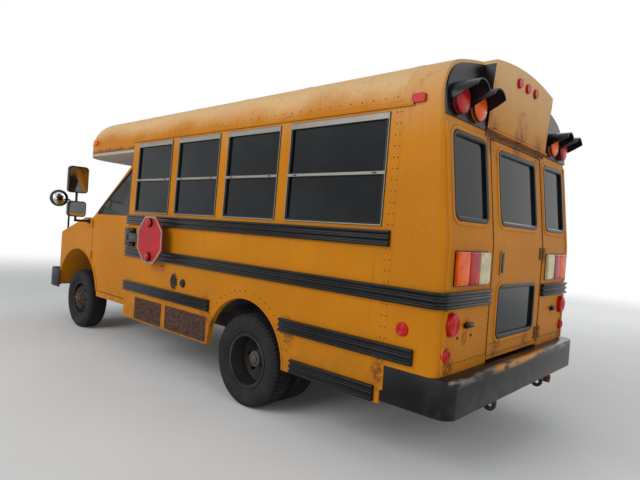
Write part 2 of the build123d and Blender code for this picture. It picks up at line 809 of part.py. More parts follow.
def door_outline(gap):
    """Outline of the driver's door as (y, z) points, grown by a gap."""
    arch = FRONT_ARCH_R + 40 - gap
    cut = []
    for z in (DOOR_LOW_Z - gap, 640, 730, 820):
        cut.append((FRONT_AXLE_Y + math.sqrt(arch ** 2 - (z - FRONT_ARCH_Z) ** 2), z))
    front = DOOR_FRONT_Y - gap
    return [
        (DOOR_REAR_Y + gap, DOOR_LOW_Z - gap),
        (DOOR_REAR_Y + gap, DOOR_TOP_Z + gap),
        (HEADER_Y + 60 - gap, DOOR_TOP_Z + gap),
        (front, CAB_BELT_Z + 80 + gap),
        (front, 900),
    ] + list(reversed(cut))


def door_glass_outline(gap):
    """Outline of the glass in the driver's door as (y, z) points, grown by a gap."""
    rear = DOOR_REAR_Y - 70 + gap
    top = DOOR_TOP_Z - 60 + gap
    low = CAB_BELT_Z + 50 - gap
    return [
        (rear, low),
        (rear, top),
        (HEADER_Y + 120 - gap, top),
        (DOOR_FRONT_Y + 80 - gap, CAB_BELT_Z + 110 + gap),
        (DOOR_FRONT_Y + 80 - gap, low),
    ]


def windscreen_prism(gap):
    """Front-view outline of the windscreen, carried along Y, grown by a gap."""
    low = CAB_BELT_Z + 30 - gap
    top = CAP_LOW_Z - 100 + gap
    wide = CAB_HALF_W - 110 + gap
    narrow = CAB_TOP_HALF_W - 90 + gap
    return along([(-wide, low), (wide, low), (narrow, top), (-narrow, top)], NOSE_Y, HEADER_Y + 200)


def hood_prism(gap):
    """Top-view outline of the hood, carried up, grown by a gap."""
    half = 700 + gap
    return block(-half, half, NOSE_Y + 30 - gap, COWL_Y - 20 + gap, 1060 + 40, ROOF_Z)


def portal_block():
    """Space that the entry portal takes from the cab's right side."""
    x0 = -CAB_HALF_W
    return block(x0 - WALL, x0 + PORTAL_DEPTH, PORTAL_FRONT_Y, PORTAL_REAR_Y, 0, CAB_TOP_Z)


def doorway(x0, x1, front_y):
    """Opening of the entry door from front_y back, carried across from x0 to x1."""
    return block(x0, x1, front_y, PORTAL_REAR_Y - PORTAL_POST, ENTRY_LOW_Z, ENTRY_TOP_Z)


def cab_shell():
    """Fenders, cowl, pillars, sills and the wheel liners, as one welded shell."""
    skin = cab_volume(0) - cab_volume(CAB_SHEET)
    skin -= across(door_outline(DOOR_GAP), 0, HALF_W)
    skin -= windscreen_prism(0)
    skin -= hood_prism(PANEL_GAP)
    skin -= portal_block()
    skin -= doorway(-CAB_HALF_W, -CAB_TOP_HALF_W + PORTAL_DEPTH, HEADER_Y + PORTAL_DEPTH)
    skin -= block(-GRILLE_HALF_W, GRILLE_HALF_W, NOSE_Y - 10, NOSE_Y + 60, *GRILLE_Z)
    skin -= block(-620, 620, NOSE_Y - 10, NOSE_Y + 60, 0, 740)
    for sign in (1, -1):
        low, high = sorted((sign * LINER_X, sign * HALF_W))
        skin -= rod_x(FRONT_ARCH_R, low, high, FRONT_AXLE_Y, FRONT_ARCH_Z)
        low, high = sorted((sign * LINER_X, sign * (CAB_HALF_W - CAB_SHEET)))
        liner = rod_x(FRONT_ARCH_R + HOUSING_SHEET, low, high, FRONT_AXLE_Y, FRONT_ARCH_Z)
        low2, high2 = sorted((sign * (LINER_X + HOUSING_SHEET), sign * HALF_W))
        liner -= rod_x(FRONT_ARCH_R, low2, high2, FRONT_AXLE_Y, FRONT_ARCH_Z)
        liner -= block(-HALF_W, HALF_W, FRONT_END_Y, BODY_FRONT_Y, -HALF_W, LINER_LOW_Z)
        low3, high3 = sorted((sign * (LINER_X - 1), sign * (LINER_X + HOUSING_SHEET)))
        liner -= block(low3, high3, FRONT_END_Y, BODY_FRONT_Y, 0, FRAME_TOP_Z)
        skin += liner
    fire = FIREWALL_Y - HOUSING_SHEET
    wall = block(-CAB_HALF_W, CAB_HALF_W, fire, FIREWALL_Y, FRAME_TOP_Z, CAB_BELT_Z - CAB_SHEET)
    wall &= cab_volume(CAB_SHEET)
    for sign in (1, -1):
        low, high = sorted((sign * LINER_X, sign * HALF_W))
        wall -= rod_x(FRONT_ARCH_R, low, high, FRONT_AXLE_Y, FRONT_ARCH_Z)
    return skin + wall + hinge_half("cab", False)


def hood_panel():
    """Hood, cut from the same skin as the fenders."""
    skin = cab_volume(0) - cab_volume(CAB_SHEET)
    return skin & hood_prism(0)


def driver_door():
    """Driver's door, cut from the cab's skin, with its window opening."""
    skin = cab_volume(0) - cab_volume(DOOR_THICK)
    door = skin & across(door_outline(0), CAB_HALF_W / 2, HALF_W)
    door -= across(door_glass_outline(0), CAB_HALF_W / 2, HALF_W)
    return door + hinge_half("cab", True)


def driver_door_glass():
    """Glass of the driver's door."""
    layer = cab_volume(14) - cab_volume(14 + GLASS)
    return layer & across(door_glass_outline(-SEAT_GAP), CAB_HALF_W / 2, HALF_W)


def windscreen():
    """Windscreen glass, a thin layer of the cab's form."""
    layer = cab_volume(10) - cab_volume(10 + GLASS)
    return layer & windscreen_prism(-SEAT_GAP)


def grille():
    """Grille frame with slats, between two lamp bays."""
    y0 = NOSE_Y + 4
    y1 = NOSE_Y + 40
    gap = SEAT_GAP
    half = GRILLE_HALF_W - gap
    frame = block(-half, half, y0, y1, GRILLE_Z[0] + gap, GRILLE_Z[1] - gap)
    hole, low_z, top_z = GRILLE_HOLE
    frame -= block(-hole, hole, y0, y1, low_z, top_z)
    x0, x1, lamp_low, lamp_top = HEADLAMP
    for bay in both_sides(block(x0, x1, y0, y1, lamp_low, lamp_top)):
        frame -= bay
    for k in range(1, GRILLE_SLATS + 1):
        z = low_z + (top_z - low_z) / (GRILLE_SLATS + 1) * k
        frame += block(-hole, hole, y0 + 6, y1 - 6, z - SLAT_HALF, z + SLAT_HALF)
    return frame


def bumper_ring(half, back, front, radius, sheet, z0, z1):
    """U-shaped bumper in plan, closed towards +Y, as a sheet with rounded corners."""
    def outline(inset):
        depth = back - front + radius
        centre_y = (back - inset + front - radius) / 2
        plan = RectangleRounded(2 * (half - inset), depth - inset, radius - inset / 2)
        return extrude(Pos(0, centre_y, z0) * plan, z1 - z0)
    ring = outline(0) - outline(sheet)
    return ring - block(-2 * half, 2 * half, front - 3 * radius, front, z0, z1)


def rear_bumper():
    """Rear bumper: a wrapped sheet with a top ledge, two brackets and two tow eyes."""
    front = REAR_CAP_Y + 10
    sheet = BUMPER_SHEET
    ring = bumper_ring(HALF_W, REAR_END_Y, front, BUMPER_CORNER_R, sheet, BUMPER_LOW_Z, REAR_LOW_Z)
    ledge = BUMPER_STEP + WALL
    ring += bumper_ring(HALF_W, REAR_END_Y, front, BUMPER_CORNER_R, ledge, REAR_LOW_Z - sheet, REAR_LOW_Z)
    for sign in (1, -1):
        low, high = sorted((sign * RAIL_X, sign * (RAIL_X + sheet)))
        bracket = (CHASSIS_REAR_Y - 200, REAR_END_Y - sheet / 2, BUMPER_LOW_Z + 20, REAR_LOW_Z - 20)
        ring += block(low, high, *bracket)
        ring += tow_eye(sign * (RAIL_X + sheet / 2))
    return ring


def tow_eye(x):
    """Plate with an eye, hanging below the bumper's sheet."""
    half = TOW_THICK / 2
    y = REAR_END_Y - TOW_SETBACK
    plate = rod_x(TOW_R * 2.2, x - half, x + half, y, TOW_Z)
    plate += block(x - half, x + half, y - TOW_R * 2.2, y + TOW_R * 2.2, TOW_Z, BUMPER_LOW_Z + 40)
    return plate - rod_x(TOW_R, x - WALL, x + WALL, y, TOW_Z)


def front_bumper():
    """Front bumper: a wrapped sheet with a top ledge and two brackets."""
    half = CAB_HALF_W + 20
    front = -(NOSE_Y + 230)
    sheet = BUMPER_SHEET
    back = -FRONT_END_Y
    ledge = NOSE_Y - FRONT_END_Y - 1
    ring = bumper_ring(half, back, front, BUMPER_CORNER_R, sheet, FRONT_BUMPER_LOW_Z, FRONT_BUMPER_TOP_Z)
    top_z = FRONT_BUMPER_TOP_Z
    ring += block(-half + 60, half - 60, back - ledge, back - sheet / 2, top_z - sheet, top_z)
    for sign in (1, -1):
        low, high = sorted((sign * RAIL_X, sign * (RAIL_X + sheet)))
        bracket = (-CHASSIS_FRONT_Y - 150, back - sheet / 2, FRAME_TOP_Z - RAIL_H + 10, FRAME_TOP_Z - 30)
        ring += block(low, high, *bracket)
    return mirror(ring, about=Plane.XZ)


def channel(sign, y0, y1, z0, z1):
    """Frame rail: a channel with its web outside, on the side that sign gives."""
    web_low, web_high = sorted((sign * RAIL_X, sign * (RAIL_X - RAIL_WEB)))
    low, high = sorted((sign * RAIL_X, sign * (RAIL_X - RAIL_FLANGE)))
    rail = block(web_low, web_high, y0, y1, z0, z1)
    rail += block(low, high, y0, y1, z0, z0 + RAIL_WEB)
    return rail + block(low, high, y0, y1, z1 - RAIL_WEB, z1)


def chassis_frame():
    """Ladder frame: two channels and their crossmembers."""
    low = FRAME_TOP_Z - RAIL_H
    frame = None
    for sign in (1, -1):
        rail = channel(sign, CHASSIS_FRONT_Y, CHASSIS_REAR_Y, low, FRAME_TOP_Z)
        frame = rail if frame is None else frame + rail
    count = 10
    step = (CHASSIS_REAR_Y - CHASSIS_FRONT_Y - MEMBER_W) / count
    inside = RAIL_X - RAIL_WEB
    for k in range(count + 1):
        y = CHASSIS_FRONT_Y + k * step
        if ENGINE_FRONT_Y - MEMBER_W < y < ENGINE_REAR_Y + GEARBOX:
            continue
        frame += block(-inside, inside, y, y + MEMBER_W, FRAME_TOP_Z - MEMBER_H, FRAME_TOP_Z - RAIL_WEB)
    for y, width in ((ENGINE_FRONT_Y + 60, MEMBER_W), (FRONT_AXLE_Y - CRADLE_W / 2, CRADLE_W)):
        frame += block(-inside, inside, y, y + width, low, ENGINE_LOW_Z)
    y = ENGINE_REAR_Y + GEARBOX - 160
    saddle = GEARBOX_Z - GEARBOX_R - SEAT_GAP
    frame += block(-inside, inside, y, y + MEMBER_W, saddle - 30, saddle)
    for sign in (1, -1):
        leg_low, leg_high = sorted((sign * inside, sign * (RAIL_X - RAIL_FLANGE)))
        frame += block(leg_low, leg_high, y, y + MEMBER_W, saddle - 30, low)
    return frame


def engine_block():
    """Engine as one plain block on the front cradle."""
    return block(-ENGINE_W / 2, ENGINE_W / 2, ENGINE_FRONT_Y, ENGINE_REAR_Y, ENGINE_LOW_Z, ENGINE_TOP_Z)


def driveline():
    """Gearbox, propeller shaft and rear axle with its spindles and brake plates."""
    z = TYRE_R
    y = REAR_AXLE_Y
    axle = rod_x(AXLE_R, -BRAKE_X, BRAKE_X, y, z)
    axle += rod_x(SPINDLE_R, -SPINDLE_END_X, SPINDLE_END_X, y, z)
    axle += Pos(0, y, z) * Sphere(DIFF_R)
    for sign in (1, -1):
        low, high = sorted((sign * (BRAKE_X - HOUSING_SHEET), sign * BRAKE_X))
        axle += rod_x(DRUM_R + 10, low, high, y, z)
        low, high = sorted((sign * (SPRING_X - SPRING_W / 2), sign * (SPRING_X + SPRING_W / 2)))
        axle += block(low, high, y - 60, y + 60, z + 30, SPRING_Z)
    gear_end = ENGINE_REAR_Y + GEARBOX
    box = rod_y(GEARBOX_R, 0, ENGINE_REAR_Y, gear_end, GEARBOX_Z)
    box += rod_y(BELL_R, 0, ENGINE_REAR_Y, ENGINE_REAR_Y + BELL_L, GEARBOX_Z)
    rise = GEARBOX_Z - z
    run = y - gear_end
    shaft = Pos(0, (y + gear_end) / 2, (GEARBOX_Z + z) / 2)
    shaft = shaft * Rot(90 - math.degrees(math.atan2(rise, run)), 0, 0)
    return axle + box + shaft * Cylinder(PROP_R, math.hypot(rise, run))


def rear_springs():
    """Leaf springs over the rear axle, with their hangers on the frame rails."""
    shapes = []
    low, high = SPRING_X - SPRING_W / 2, SPRING_X + SPRING_W / 2
    for leaf in range(3):
        half = SPRING_HALF - 170 * leaf
        z = SPRING_Z + 12 * leaf if leaf else SPRING_Z
        shapes.append(block(low, high, REAR_AXLE_Y - half, REAR_AXLE_Y + half, z, z + 12))
    spring = shapes[0] + shapes[1] + shapes[2]
    for end in (-1, 1):
        y = REAR_AXLE_Y + end * (SPRING_HALF - 30)
        spring += block(RAIL_X - RAIL_FLANGE, high, y - 30, y + 30, SPRING_Z, FRAME_TOP_Z - RAIL_H)
    return group(both_sides(spring))


def front_suspension():
    """Twin front beams with kingpin eyes, radius arms and spring towers."""
    z = TYRE_R
    y = FRONT_AXLE_Y
    shapes = []
    for sign in (1, -1):
        eye = rod_z(EYE_R, KINGPIN_X, y, z - EYE_HALF, z + EYE_HALF)
        low, high = (y + 5, y + 40) if sign > 0 else (y - 40, y - 5)
        beam = block(-BEAM_END_X, KINGPIN_X - KINGPIN_R, low, high, z - 32, z + 32)
        tower = rod_z(COIL_R, COIL_X, y, z + 32, FRAME_TOP_Z - 60)
        seat = block(RAIL_X, COIL_X + COIL_R, y - COIL_R, y + COIL_R, FRAME_TOP_Z - 60, FRAME_TOP_Z - 40)
        pivot = block(-BEAM_END_X, -BEAM_END_X + 50, low, high, z - 32, FRAME_TOP_Z - RAIL_H)
        one = eye + beam + tower + seat + pivot
        one -= rod_z(KINGPIN_R + PIN_FIT, KINGPIN_X, y, 0, FLOOR_Z)
        shapes.append(one if sign > 0 else mirrored(one))
    return group(shapes)


def knuckle():
    """Left steering knuckle: kingpin, yoke, steering arm and wheel spindle."""
    z = TYRE_R
    y = FRONT_AXLE_Y
    top = z + EYE_HALF + YOKE_GAP
    low = z - EYE_HALF - YOKE_GAP
    web_x = KINGPIN_X + EYE_R + 6
    body = rod_z(KINGPIN_R, KINGPIN_X, y, low - YOKE, top + YOKE)
    for z0 in (low - YOKE, top):
        body += rod_z(EYE_R, KINGPIN_X, y, z0, z0 + YOKE)
        body += block(KINGPIN_X, web_x + 20, y - EYE_R, y + EYE_R, z0, z0 + YOKE)
    body += block(web_x, web_x + 20, y - EYE_R, y + EYE_R, low - YOKE, top + YOKE)
    body += block(KINGPIN_X - 20, KINGPIN_X + 20, y, y + 150, low - YOKE, low)
    return body + rod_x(STUB_R, web_x, STUB_END_X, y, z)


def tyre(x, y):
    """Plain tyre on a wheel centred at x."""
    half = TYRE_W / 2
    bead = BEAD_HALF_W
    edges = [
        Line((-bead, 0, BEAD_R), (bead, 0, BEAD_R)),
        Line((bead, 0, BEAD_R), (bead, 0, RIM_LIP_R + 1)),
        ThreePointArc((bead, 0, RIM_LIP_R + 1), (half, 0, 288), (half - 14, 0, TYRE_R - 18)),
        Line((half - 14, 0, TYRE_R - 18), (half - 28, 0, TYRE_R - 3)),
        ThreePointArc((half - 28, 0, TYRE_R - 3), (0, 0, TYRE_R), (28 - half, 0, TYRE_R - 3)),
        Line((28 - half, 0, TYRE_R - 3), (14 - half, 0, TYRE_R - 18)),
        ThreePointArc((14 - half, 0, TYRE_R - 18), (-half, 0, 288), (-bead, 0, RIM_LIP_R + 1)),
        Line((-bead, 0, RIM_LIP_R + 1), (-bead, 0, BEAD_R)),
    ]
    return Pos(x, y, TYRE_R) * revolve(make_face(edges), axis=Axis.X)


def rim(x, y, face):
    """Steel rim with a dished disc whose mounting face lies face millimetres outboard of its centre."""
    lip = BEAD_HALF_W + RIM_SHEET
    inner = BEAD_R - RIM_SHEET
    side = math.copysign(1, face)
    barrel = (
        (-lip, RIM_LIP_R), (-BEAD_HALF_W, RIM_LIP_R), (-BEAD_HALF_W, BEAD_R), (BEAD_HALF_W, BEAD_R),
        (BEAD_HALF_W, RIM_LIP_R), (lip, RIM_LIP_R), (lip, inner), (-lip, inner),
    )
    foot = face - side * DISH_DEPTH
    sheet = side * RIM_SHEET
    dish = (
        (foot, inner + 1), (foot - sheet, inner + 1), (face - sheet, DISC_FLAT_R),
        (face - sheet, HUB_R - 2), (face, HUB_R - 2), (face, DISC_FLAT_R + 4),
    )
    shape = None
    for outline in (barrel, dish):
        face_2d = make_face(Polyline([(u, 0, r) for u, r in outline], close=True))
        ring = revolve(face_2d, axis=Axis.X)
        shape = ring if shape is None else shape + ring
    low, high = sorted((foot - 2 * sheet, face + sheet))
    for k in range(HAND_HOLES):
        angle = math.radians(360 / HAND_HOLES * k)
        spot_y = HAND_HOLE_SPOT_R * math.sin(angle)
        shape -= rod_x(HAND_HOLE_R, low, high, spot_y, HAND_HOLE_SPOT_R * math.cos(angle))
    return Pos(x, y, TYRE_R) * shape


def front_rim():
    """Front left rim with its hub and brake disc."""
    y = FRONT_AXLE_Y
    wheel = rim(FRONT_TRACK_X, y, FRONT_DISC_FACE)
    start = KINGPIN_X + EYE_R + 6 + 20 + 6
    wheel += rod_x(HUB_R, start, FRONT_TRACK_X + FRONT_DISC_FACE + 22, y, TYRE_R)
    wheel += rod_x(BRAKE_DISC_R, start + 4, start + 28, y, TYRE_R)
    return wheel - rod_x(STUB_R + PIN_FIT, start - 1, STUB_END_X + 2, y, TYRE_R)


def rear_rims():
    """Rear left twin rims on one hub with its brake drum."""
    y = REAR_AXLE_Y
    middle = (TWIN_OUTER_X + TWIN_INNER_X) / 2
    wheel = rim(TWIN_OUTER_X, y, middle - TWIN_OUTER_X)
    wheel += rim(TWIN_INNER_X, y, middle - TWIN_INNER_X)
    start = BRAKE_X + 6
    wheel += rod_x(HUB_R, start, TWIN_OUTER_X + TYRE_W / 2 - HUB_RECESS, y, TYRE_R)
    wheel += rod_x(DRUM_R, start, start + DRUM_W, y, TYRE_R)
    return wheel - rod_x(SPINDLE_R + PIN_FIT, start - 1, SPINDLE_END_X + 2, y, TYRE_R)


def fuel_tank():
    """Fuel tank beside the propeller shaft, inside the left frame rail."""
    x0 = TANK_INNER_X
    x1 = RAIL_X - RAIL_FLANGE - 10
    y0 = BODY_FRONT_Y + 20
    return round_along(x0, x1, TANK_LOW_Z, FRAME_TOP_Z - MEMBER_H, TANK_R, y0, y0 + TANK_L)


def exhaust():
    """Exhaust pipe with its silencer, on the right of the propeller shaft."""
    z = EXHAUST_Z
    start = (-EXHAUST_X, ENGINE_REAR_Y + 40, z)
    turn = (-EXHAUST_X, REAR_AXLE_Y + 900, z)
    drop = (-TAIL_X, REAR_AXLE_Y + 1450, TAIL_Z)
    end = (-TAIL_X, REAR_END_Y - 20, TAIL_Z)
    path = FilletPolyline(start, turn, drop, end, radius=180)
    pipe = sweep(Plane(origin=start, z_dir=(0, 1, 0)) * Circle(PIPE_R), path=path)
    y0 = BODY_FRONT_Y + 300
    pipe += rod_y(SILENCER_R, -EXHAUST_X, y0, y0 + SILENCER_L, z)
    for y in (y0 + 60, y0 + SILENCER_L - 60):
        pipe += block(-EXHAUST_X - 15, -EXHAUST_X + 15, y - 4, y + 4, z + SILENCER_R - 5, FRAME_TOP_Z)
    return pipe


def cap_volume(inset, low_z):
    """Front roof cap as a full volume: the body's roof section carried round a curved nose."""
    side = EAVE_HALF_W - inset
    corner_x = EAVE_HALF_W - CAP_CORNER_R
    reach = CAP_FRONT_R - CAP_CORNER_R
    centre_y = CAP_CORNER_Y + math.sqrt(reach ** 2 - corner_x ** 2)
    tip_y = centre_y - CAP_FRONT_R
    prism = body_prism(inset, tip_y, BODY_FRONT_Y)
    prism &= block(-side, side, tip_y, BODY_FRONT_Y, low_z, ROOF_Z)
    roof = prism & nose_turn(inset, low_z, CAP_FRONT_R, 0, centre_y, 360)
    half_angle = math.degrees(math.asin(corner_x / reach))
    far = EAVE_HALF_W
    sweep_angle = 90 - half_angle
    along_x = far * math.sin(math.radians(half_angle))
    along_y = far * math.cos(math.radians(half_angle))
    wedge = upright(
        [
            (corner_x, CAP_CORNER_Y),
            (corner_x + far, CAP_CORNER_Y),
            (corner_x + far, CAP_CORNER_Y - far),
            (corner_x + along_x, CAP_CORNER_Y - along_y),
        ],
        low_z - 1,
        ROOF_Z + 1,
    )
    corner = nose_turn(inset, low_z, CAP_CORNER_R, corner_x, CAP_CORNER_Y, sweep_angle)
    return roof - wedge - mirrored(wedge) + corner + mirrored(corner)


def nose_turn(inset, low_z, plan_r, x, y, angle):
    """The roof's section turned about an upright axis at (x, y), plan_r from the axis to the eave."""
    shift = plan_r - EAVE_HALF_W
    corner_r = ROOF_CORNER_R - inset
    crown_r = ROOF_CROWN_R - inset
    reach = math.hypot(CORNER_X, CORNER_Z - CROWN_Z)
    out_x = CORNER_X / reach
    out_z = (CORNER_Z - CROWN_Z) / reach
    turn = math.atan2(out_z, out_x) / 2
    eave = EAVE_HALF_W - inset
    end_x = max(0, -shift)
    end_z = CROWN_Z + math.sqrt(crown_r ** 2 - end_x ** 2)
    join_x = crown_r * out_x
    mid_x = (join_x + end_x) / 2
    points = {
        "foot": (eave, low_z),
        "start": (eave, CORNER_Z),
        "middle": (CORNER_X + corner_r * math.cos(turn), CORNER_Z + corner_r * math.sin(turn)),
        "join": (join_x, CROWN_Z + crown_r * out_z),
        "crown": (mid_x, CROWN_Z + math.sqrt(crown_r ** 2 - mid_x ** 2)),
        "end": (end_x, end_z),
        "axis_top": (-shift, end_z),
        "axis_foot": (-shift, low_z),
    }
    at = {name: (x + shift + px, y, pz) for name, (px, pz) in points.items()}
    edges = [
        Line(at["foot"], at["start"]),
        ThreePointArc(at["start"], at["middle"], at["join"]),
        ThreePointArc(at["join"], at["crown"], at["end"]),
    ]
    if shift > 0:
        edges.append(Line(at["end"], at["axis_top"]))
    edges.append(Line(at["axis_top"], at["axis_foot"]))
    edges.append(Line(at["axis_foot"], at["foot"]))
    return revolve(make_face(edges), axis=Axis((x, y, 0), (0, 0, -1)), revolution_arc=angle)


def front_cap():
    """Front roof cap, a shell open below."""
    return cap_volume(0, CAP_LOW_Z) - cap_volume(WALL, CAP_LOW_Z - WALL)


def soffit_panel():
    """Panel under the front cap, round the head of the cab."""
    low = CAP_LOW_Z - SOFFIT
    plate = cap_volume(0, low) & block(-HALF_W, HALF_W, FRONT_END_Y, BODY_FRONT_Y, low, CAP_LOW_Z)
    half = CAB_TOP_HALF_W - CAB_SHEET - 30
    head = round_rect_up(-half, half, HEADER_Y + 60, BODY_FRONT_Y + 200, 150, low - 1, CAP_LOW_Z + 1)
    return plate - head


def entry_portal():
    """Frame of the entry door on the right, with its threshold and header."""
    x0 = -CAB_HALF_W
    x1 = x0 + PORTAL_DEPTH
    frame = block(x0, x1, PORTAL_FRONT_Y, PORTAL_REAR_Y, PORTAL_LOW_Z, CAB_TOP_Z)
    frame -= doorway(x0 - 1, x1 + 1, PORTAL_FRONT_Y + PORTAL_POST)
    return frame + hinge_half("entry_front", False) + hinge_half("entry_rear", False)


def entry_leaf(y0, y1):
    """One leaf of the entry door: a frame round one tall pane."""
    x0 = -CAB_HALF_W
    leaf = block(x0, x0 + LEAF_THICK, y0, y1, ENTRY_LOW_Z + PANEL_GAP, ENTRY_TOP_Z - PANEL_GAP)
    return leaf - leaf_pane_prism(y0, y1, 0, x0 - 1, x0 + LEAF_THICK + 1)


def leaf_pane_prism(y0, y1, gap, x0, x1):
    """Opening of a leaf's two panes, shrunk by a gap."""
    rim_w = LEAF_RIM + gap
    low = ENTRY_LOW_Z + LEAF_RIM + 60 + gap
    return round_across(y0 + rim_w, y1 - rim_w, low, ENTRY_TOP_Z - rim_w - 10, 30, x0, x1)


def entry_leaf_glass(y0, y1):
    """Pane of one leaf of the entry door."""
    x0 = -CAB_HALF_W + 14
    return leaf_pane_prism(y0, y1, SEAT_GAP, x0, x0 + GLASS)


def leaf_spans():
    """Front and back edge of the two leaves, front leaf first."""
    y0 = PORTAL_FRONT_Y + PORTAL_POST + PANEL_GAP
    y1 = PORTAL_REAR_Y - PORTAL_POST - PANEL_GAP
    middle = (y0 + y1) / 2
    return (y0, middle - LEAF_GAP / 2), (middle + LEAF_GAP / 2, y1)


def rear_door():
    """Rear emergency door, cut from the rear wall's form, with its two window openings and its pull."""
    shell = rear_volume(0, REAR_LOW_Z) - rear_volume(WALL, REAR_LOW_Z - WALL)
    half = REAR_DOOR_HALF_W
    front = REAR_CAP_Y + 80
    door = shell & block(-half, half, front, REAR_END_Y, REAR_DOOR_LOW_Z, REAR_DOOR_TOP_Z)
    for z0, z1 in REAR_DOOR_PANES:
        pane = REAR_GLASS_HALF_W
        door -= round_along(-pane, pane, z0, z1, REAR_GLASS_R, front, REAR_END_Y)
    x0, x1, z0, z1 = PULL
    radius = (x1 - x0) / 2 - 1
    door += round_along(x0, x1, z0, z1, radius, REAR_WALL_Y, REAR_WALL_Y + PULL_RIM)
    rim = PULL_RIM
    radius -= rim
    door -= round_along(x0 + rim, x1 - rim, z0 + rim, z1 - rim, radius, REAR_WALL_Y - PULL_DEPTH, REAR_END_Y)
    return door + hinge_half("rear", True)


def rear_door_glass():
    """Upper and lower panes of the rear door."""
    panes = []
    for z0, z1 in REAR_DOOR_PANES:
        half = REAR_GLASS_HALF_W - SEAT_GAP
        layer = rear_layer(-12, -12 - GLASS, z0, z1, HALF_W)
        hole = round_along(-half, half, z0 + SEAT_GAP, z1 - SEAT_GAP, REAR_GLASS_R, REAR_CAP_Y, REAR_END_Y)
        panes.append(layer & hole)
    return group(panes)


def octagon(flats, y, z, x0, x1):
    """Eight-sided plate standing across X, with a flat at its top."""
    corner = flats / 2 / math.cos(math.pi / 8)
    points = []
    for k in range(8):
        angle = math.pi / 8 + k * math.pi / 4
        points.append((y + corner * math.cos(angle), z + corner * math.sin(angle)))
    return across(points, x0, x1)


def stop_sign():
    """Folding stop sign: octagon, hinge arm, barrel and its two lamps on each face."""
    plate = octagon(SIGN_FLATS, SIGN_Y, SIGN_Z, SIGN_X - SIGN_THICK / 2, SIGN_X + SIGN_THICK / 2)
    arm_x = SIGN_X - SIGN_THICK / 2 - 10
    arm = block(arm_x, arm_x + 10, SIGN_HINGE_Y, SIGN_Y, SIGN_Z - 45, SIGN_Z + 45)
    arm += block(SIGN_HINGE_X, arm_x + 10, SIGN_HINGE_Y, SIGN_HINGE_Y + 10, SIGN_Z - 45, SIGN_Z + 45)
    arm += rod_z(14, SIGN_HINGE_X, SIGN_HINGE_Y, SIGN_Z - 45, SIGN_Z + 45)
    arm -= rod_z(8 + PIN_FIT, SIGN_HINGE_X, SIGN_HINGE_Y, SIGN_Z - 60, SIGN_Z + 60)
    plate += arm
    for z in (SIGN_Z - SIGN_LAMP_Z, SIGN_Z + SIGN_LAMP_Z):
        plate += rod_x(SIGN_LAMP_R, SIGN_X - SIGN_THICK / 2 - 18, SIGN_X + SIGN_THICK / 2 + 18, SIGN_Y, z)
    return plate


def stop_arm_base():
    """Box and hinge ears that carry the stop sign on the left side."""
    x0 = HALF_W
    box = block(x0, x0 + 30, BODY_FRONT_Y, BODY_FRONT_Y + 175, SIGN_Z - 92, SIGN_Z + 92)
    for z0 in (SIGN_Z - 45 - PANEL_GAP - 12, SIGN_Z + 45 + PANEL_GAP):
        box += block(x0, SIGN_HINGE_X, SIGN_HINGE_Y - 14, SIGN_HINGE_Y + 5, z0, z0 + 12)
        box += rod_z(14, SIGN_HINGE_X, SIGN_HINGE_Y, z0, z0 + 12)
    box += rod_z(8, SIGN_HINGE_X, SIGN_HINGE_Y, SIGN_Z - 60, SIGN_Z + 60)
    return box


def dashboard():
    """Dashboard, engine cover and the steering column."""
    half = CAB_HALF_W - 60
    y0 = FIREWALL_Y
    top = CAB_BELT_Z - CAB_SHEET - 60
    profile = ((y0, 950), (y0, top), (y0 + 120, top), (y0 + 280, top - 120), (y0 + 280, 1050))
    dash = across(profile, -half + 60, half)
    cover = across([(y0, FLOOR_Z), (y0, 1000), (y0 + 520, 960), (y0 + 640, FLOOR_Z)], -300, 300)
    column = column_rod(COLUMN_R, -60, COLUMN_LENGTH) + column_rod(STEER_SHAFT_R, 0, COLUMN_LENGTH + 44)
    column = Pos(COLUMN_X, 0, 0) * column
    return dash + cover + column


def column_rod(radius, start, end):
    """Round bar along the steering column's axis, in the plane of X 0."""
    base = Location((0, FIREWALL_Y + 200, COLUMN_BASE_Z)) * Rot(-90 + COLUMN_TILT, 0, 0)
    return base * Pos(0, 0, (start + end) / 2) * Cylinder(radius, end - start)


def steering_wheel():
    """Steering wheel: rim, three spokes and hub on the column's axis."""
    base = Location((COLUMN_X, FIREWALL_Y + 200, COLUMN_BASE_Z)) * Rot(-90 + COLUMN_TILT, 0, 0)
    base = base * Pos(0, 0, COLUMN_LENGTH + 30)
    wheel = Torus(STEER_R, 14) + Cylinder(50, 36)
    for k in range(3):
        wheel += Rot(0, 0, 120 * k) * Pos(STEER_R / 2, 0, 0) * Box(STEER_R, 34, 14)
    wheel -= Cylinder(STEER_SHAFT_R + PIN_FIT, STEER_R)
    return base * wheel


def bench_spots():
    """Middle x and back y of each bench seat."""
    spots = []
    for row in range(BENCH_ROWS):
        for sign in (1, -1):
            spots.append((sign * BENCH_X, BODY_FRONT_Y + BENCH_SETBACK + row * BENCH_PITCH))
    return spots


def bench_cushions():
    """Padded seats and backs of the benches."""
    shapes = []
    half = BENCH_W / 2
    for x, y in bench_spots():
        seat = round_across(y - BENCH_D, y, BENCH_Z, BENCH_Z + 110, 40, x - half, x + half)
        back = round_across(y, y + 90, BENCH_Z - 40, BENCH_Z + 110 + BENCH_BACK, 40, x - half, x + half)
        shapes.append(seat + back)
    return group(shapes)


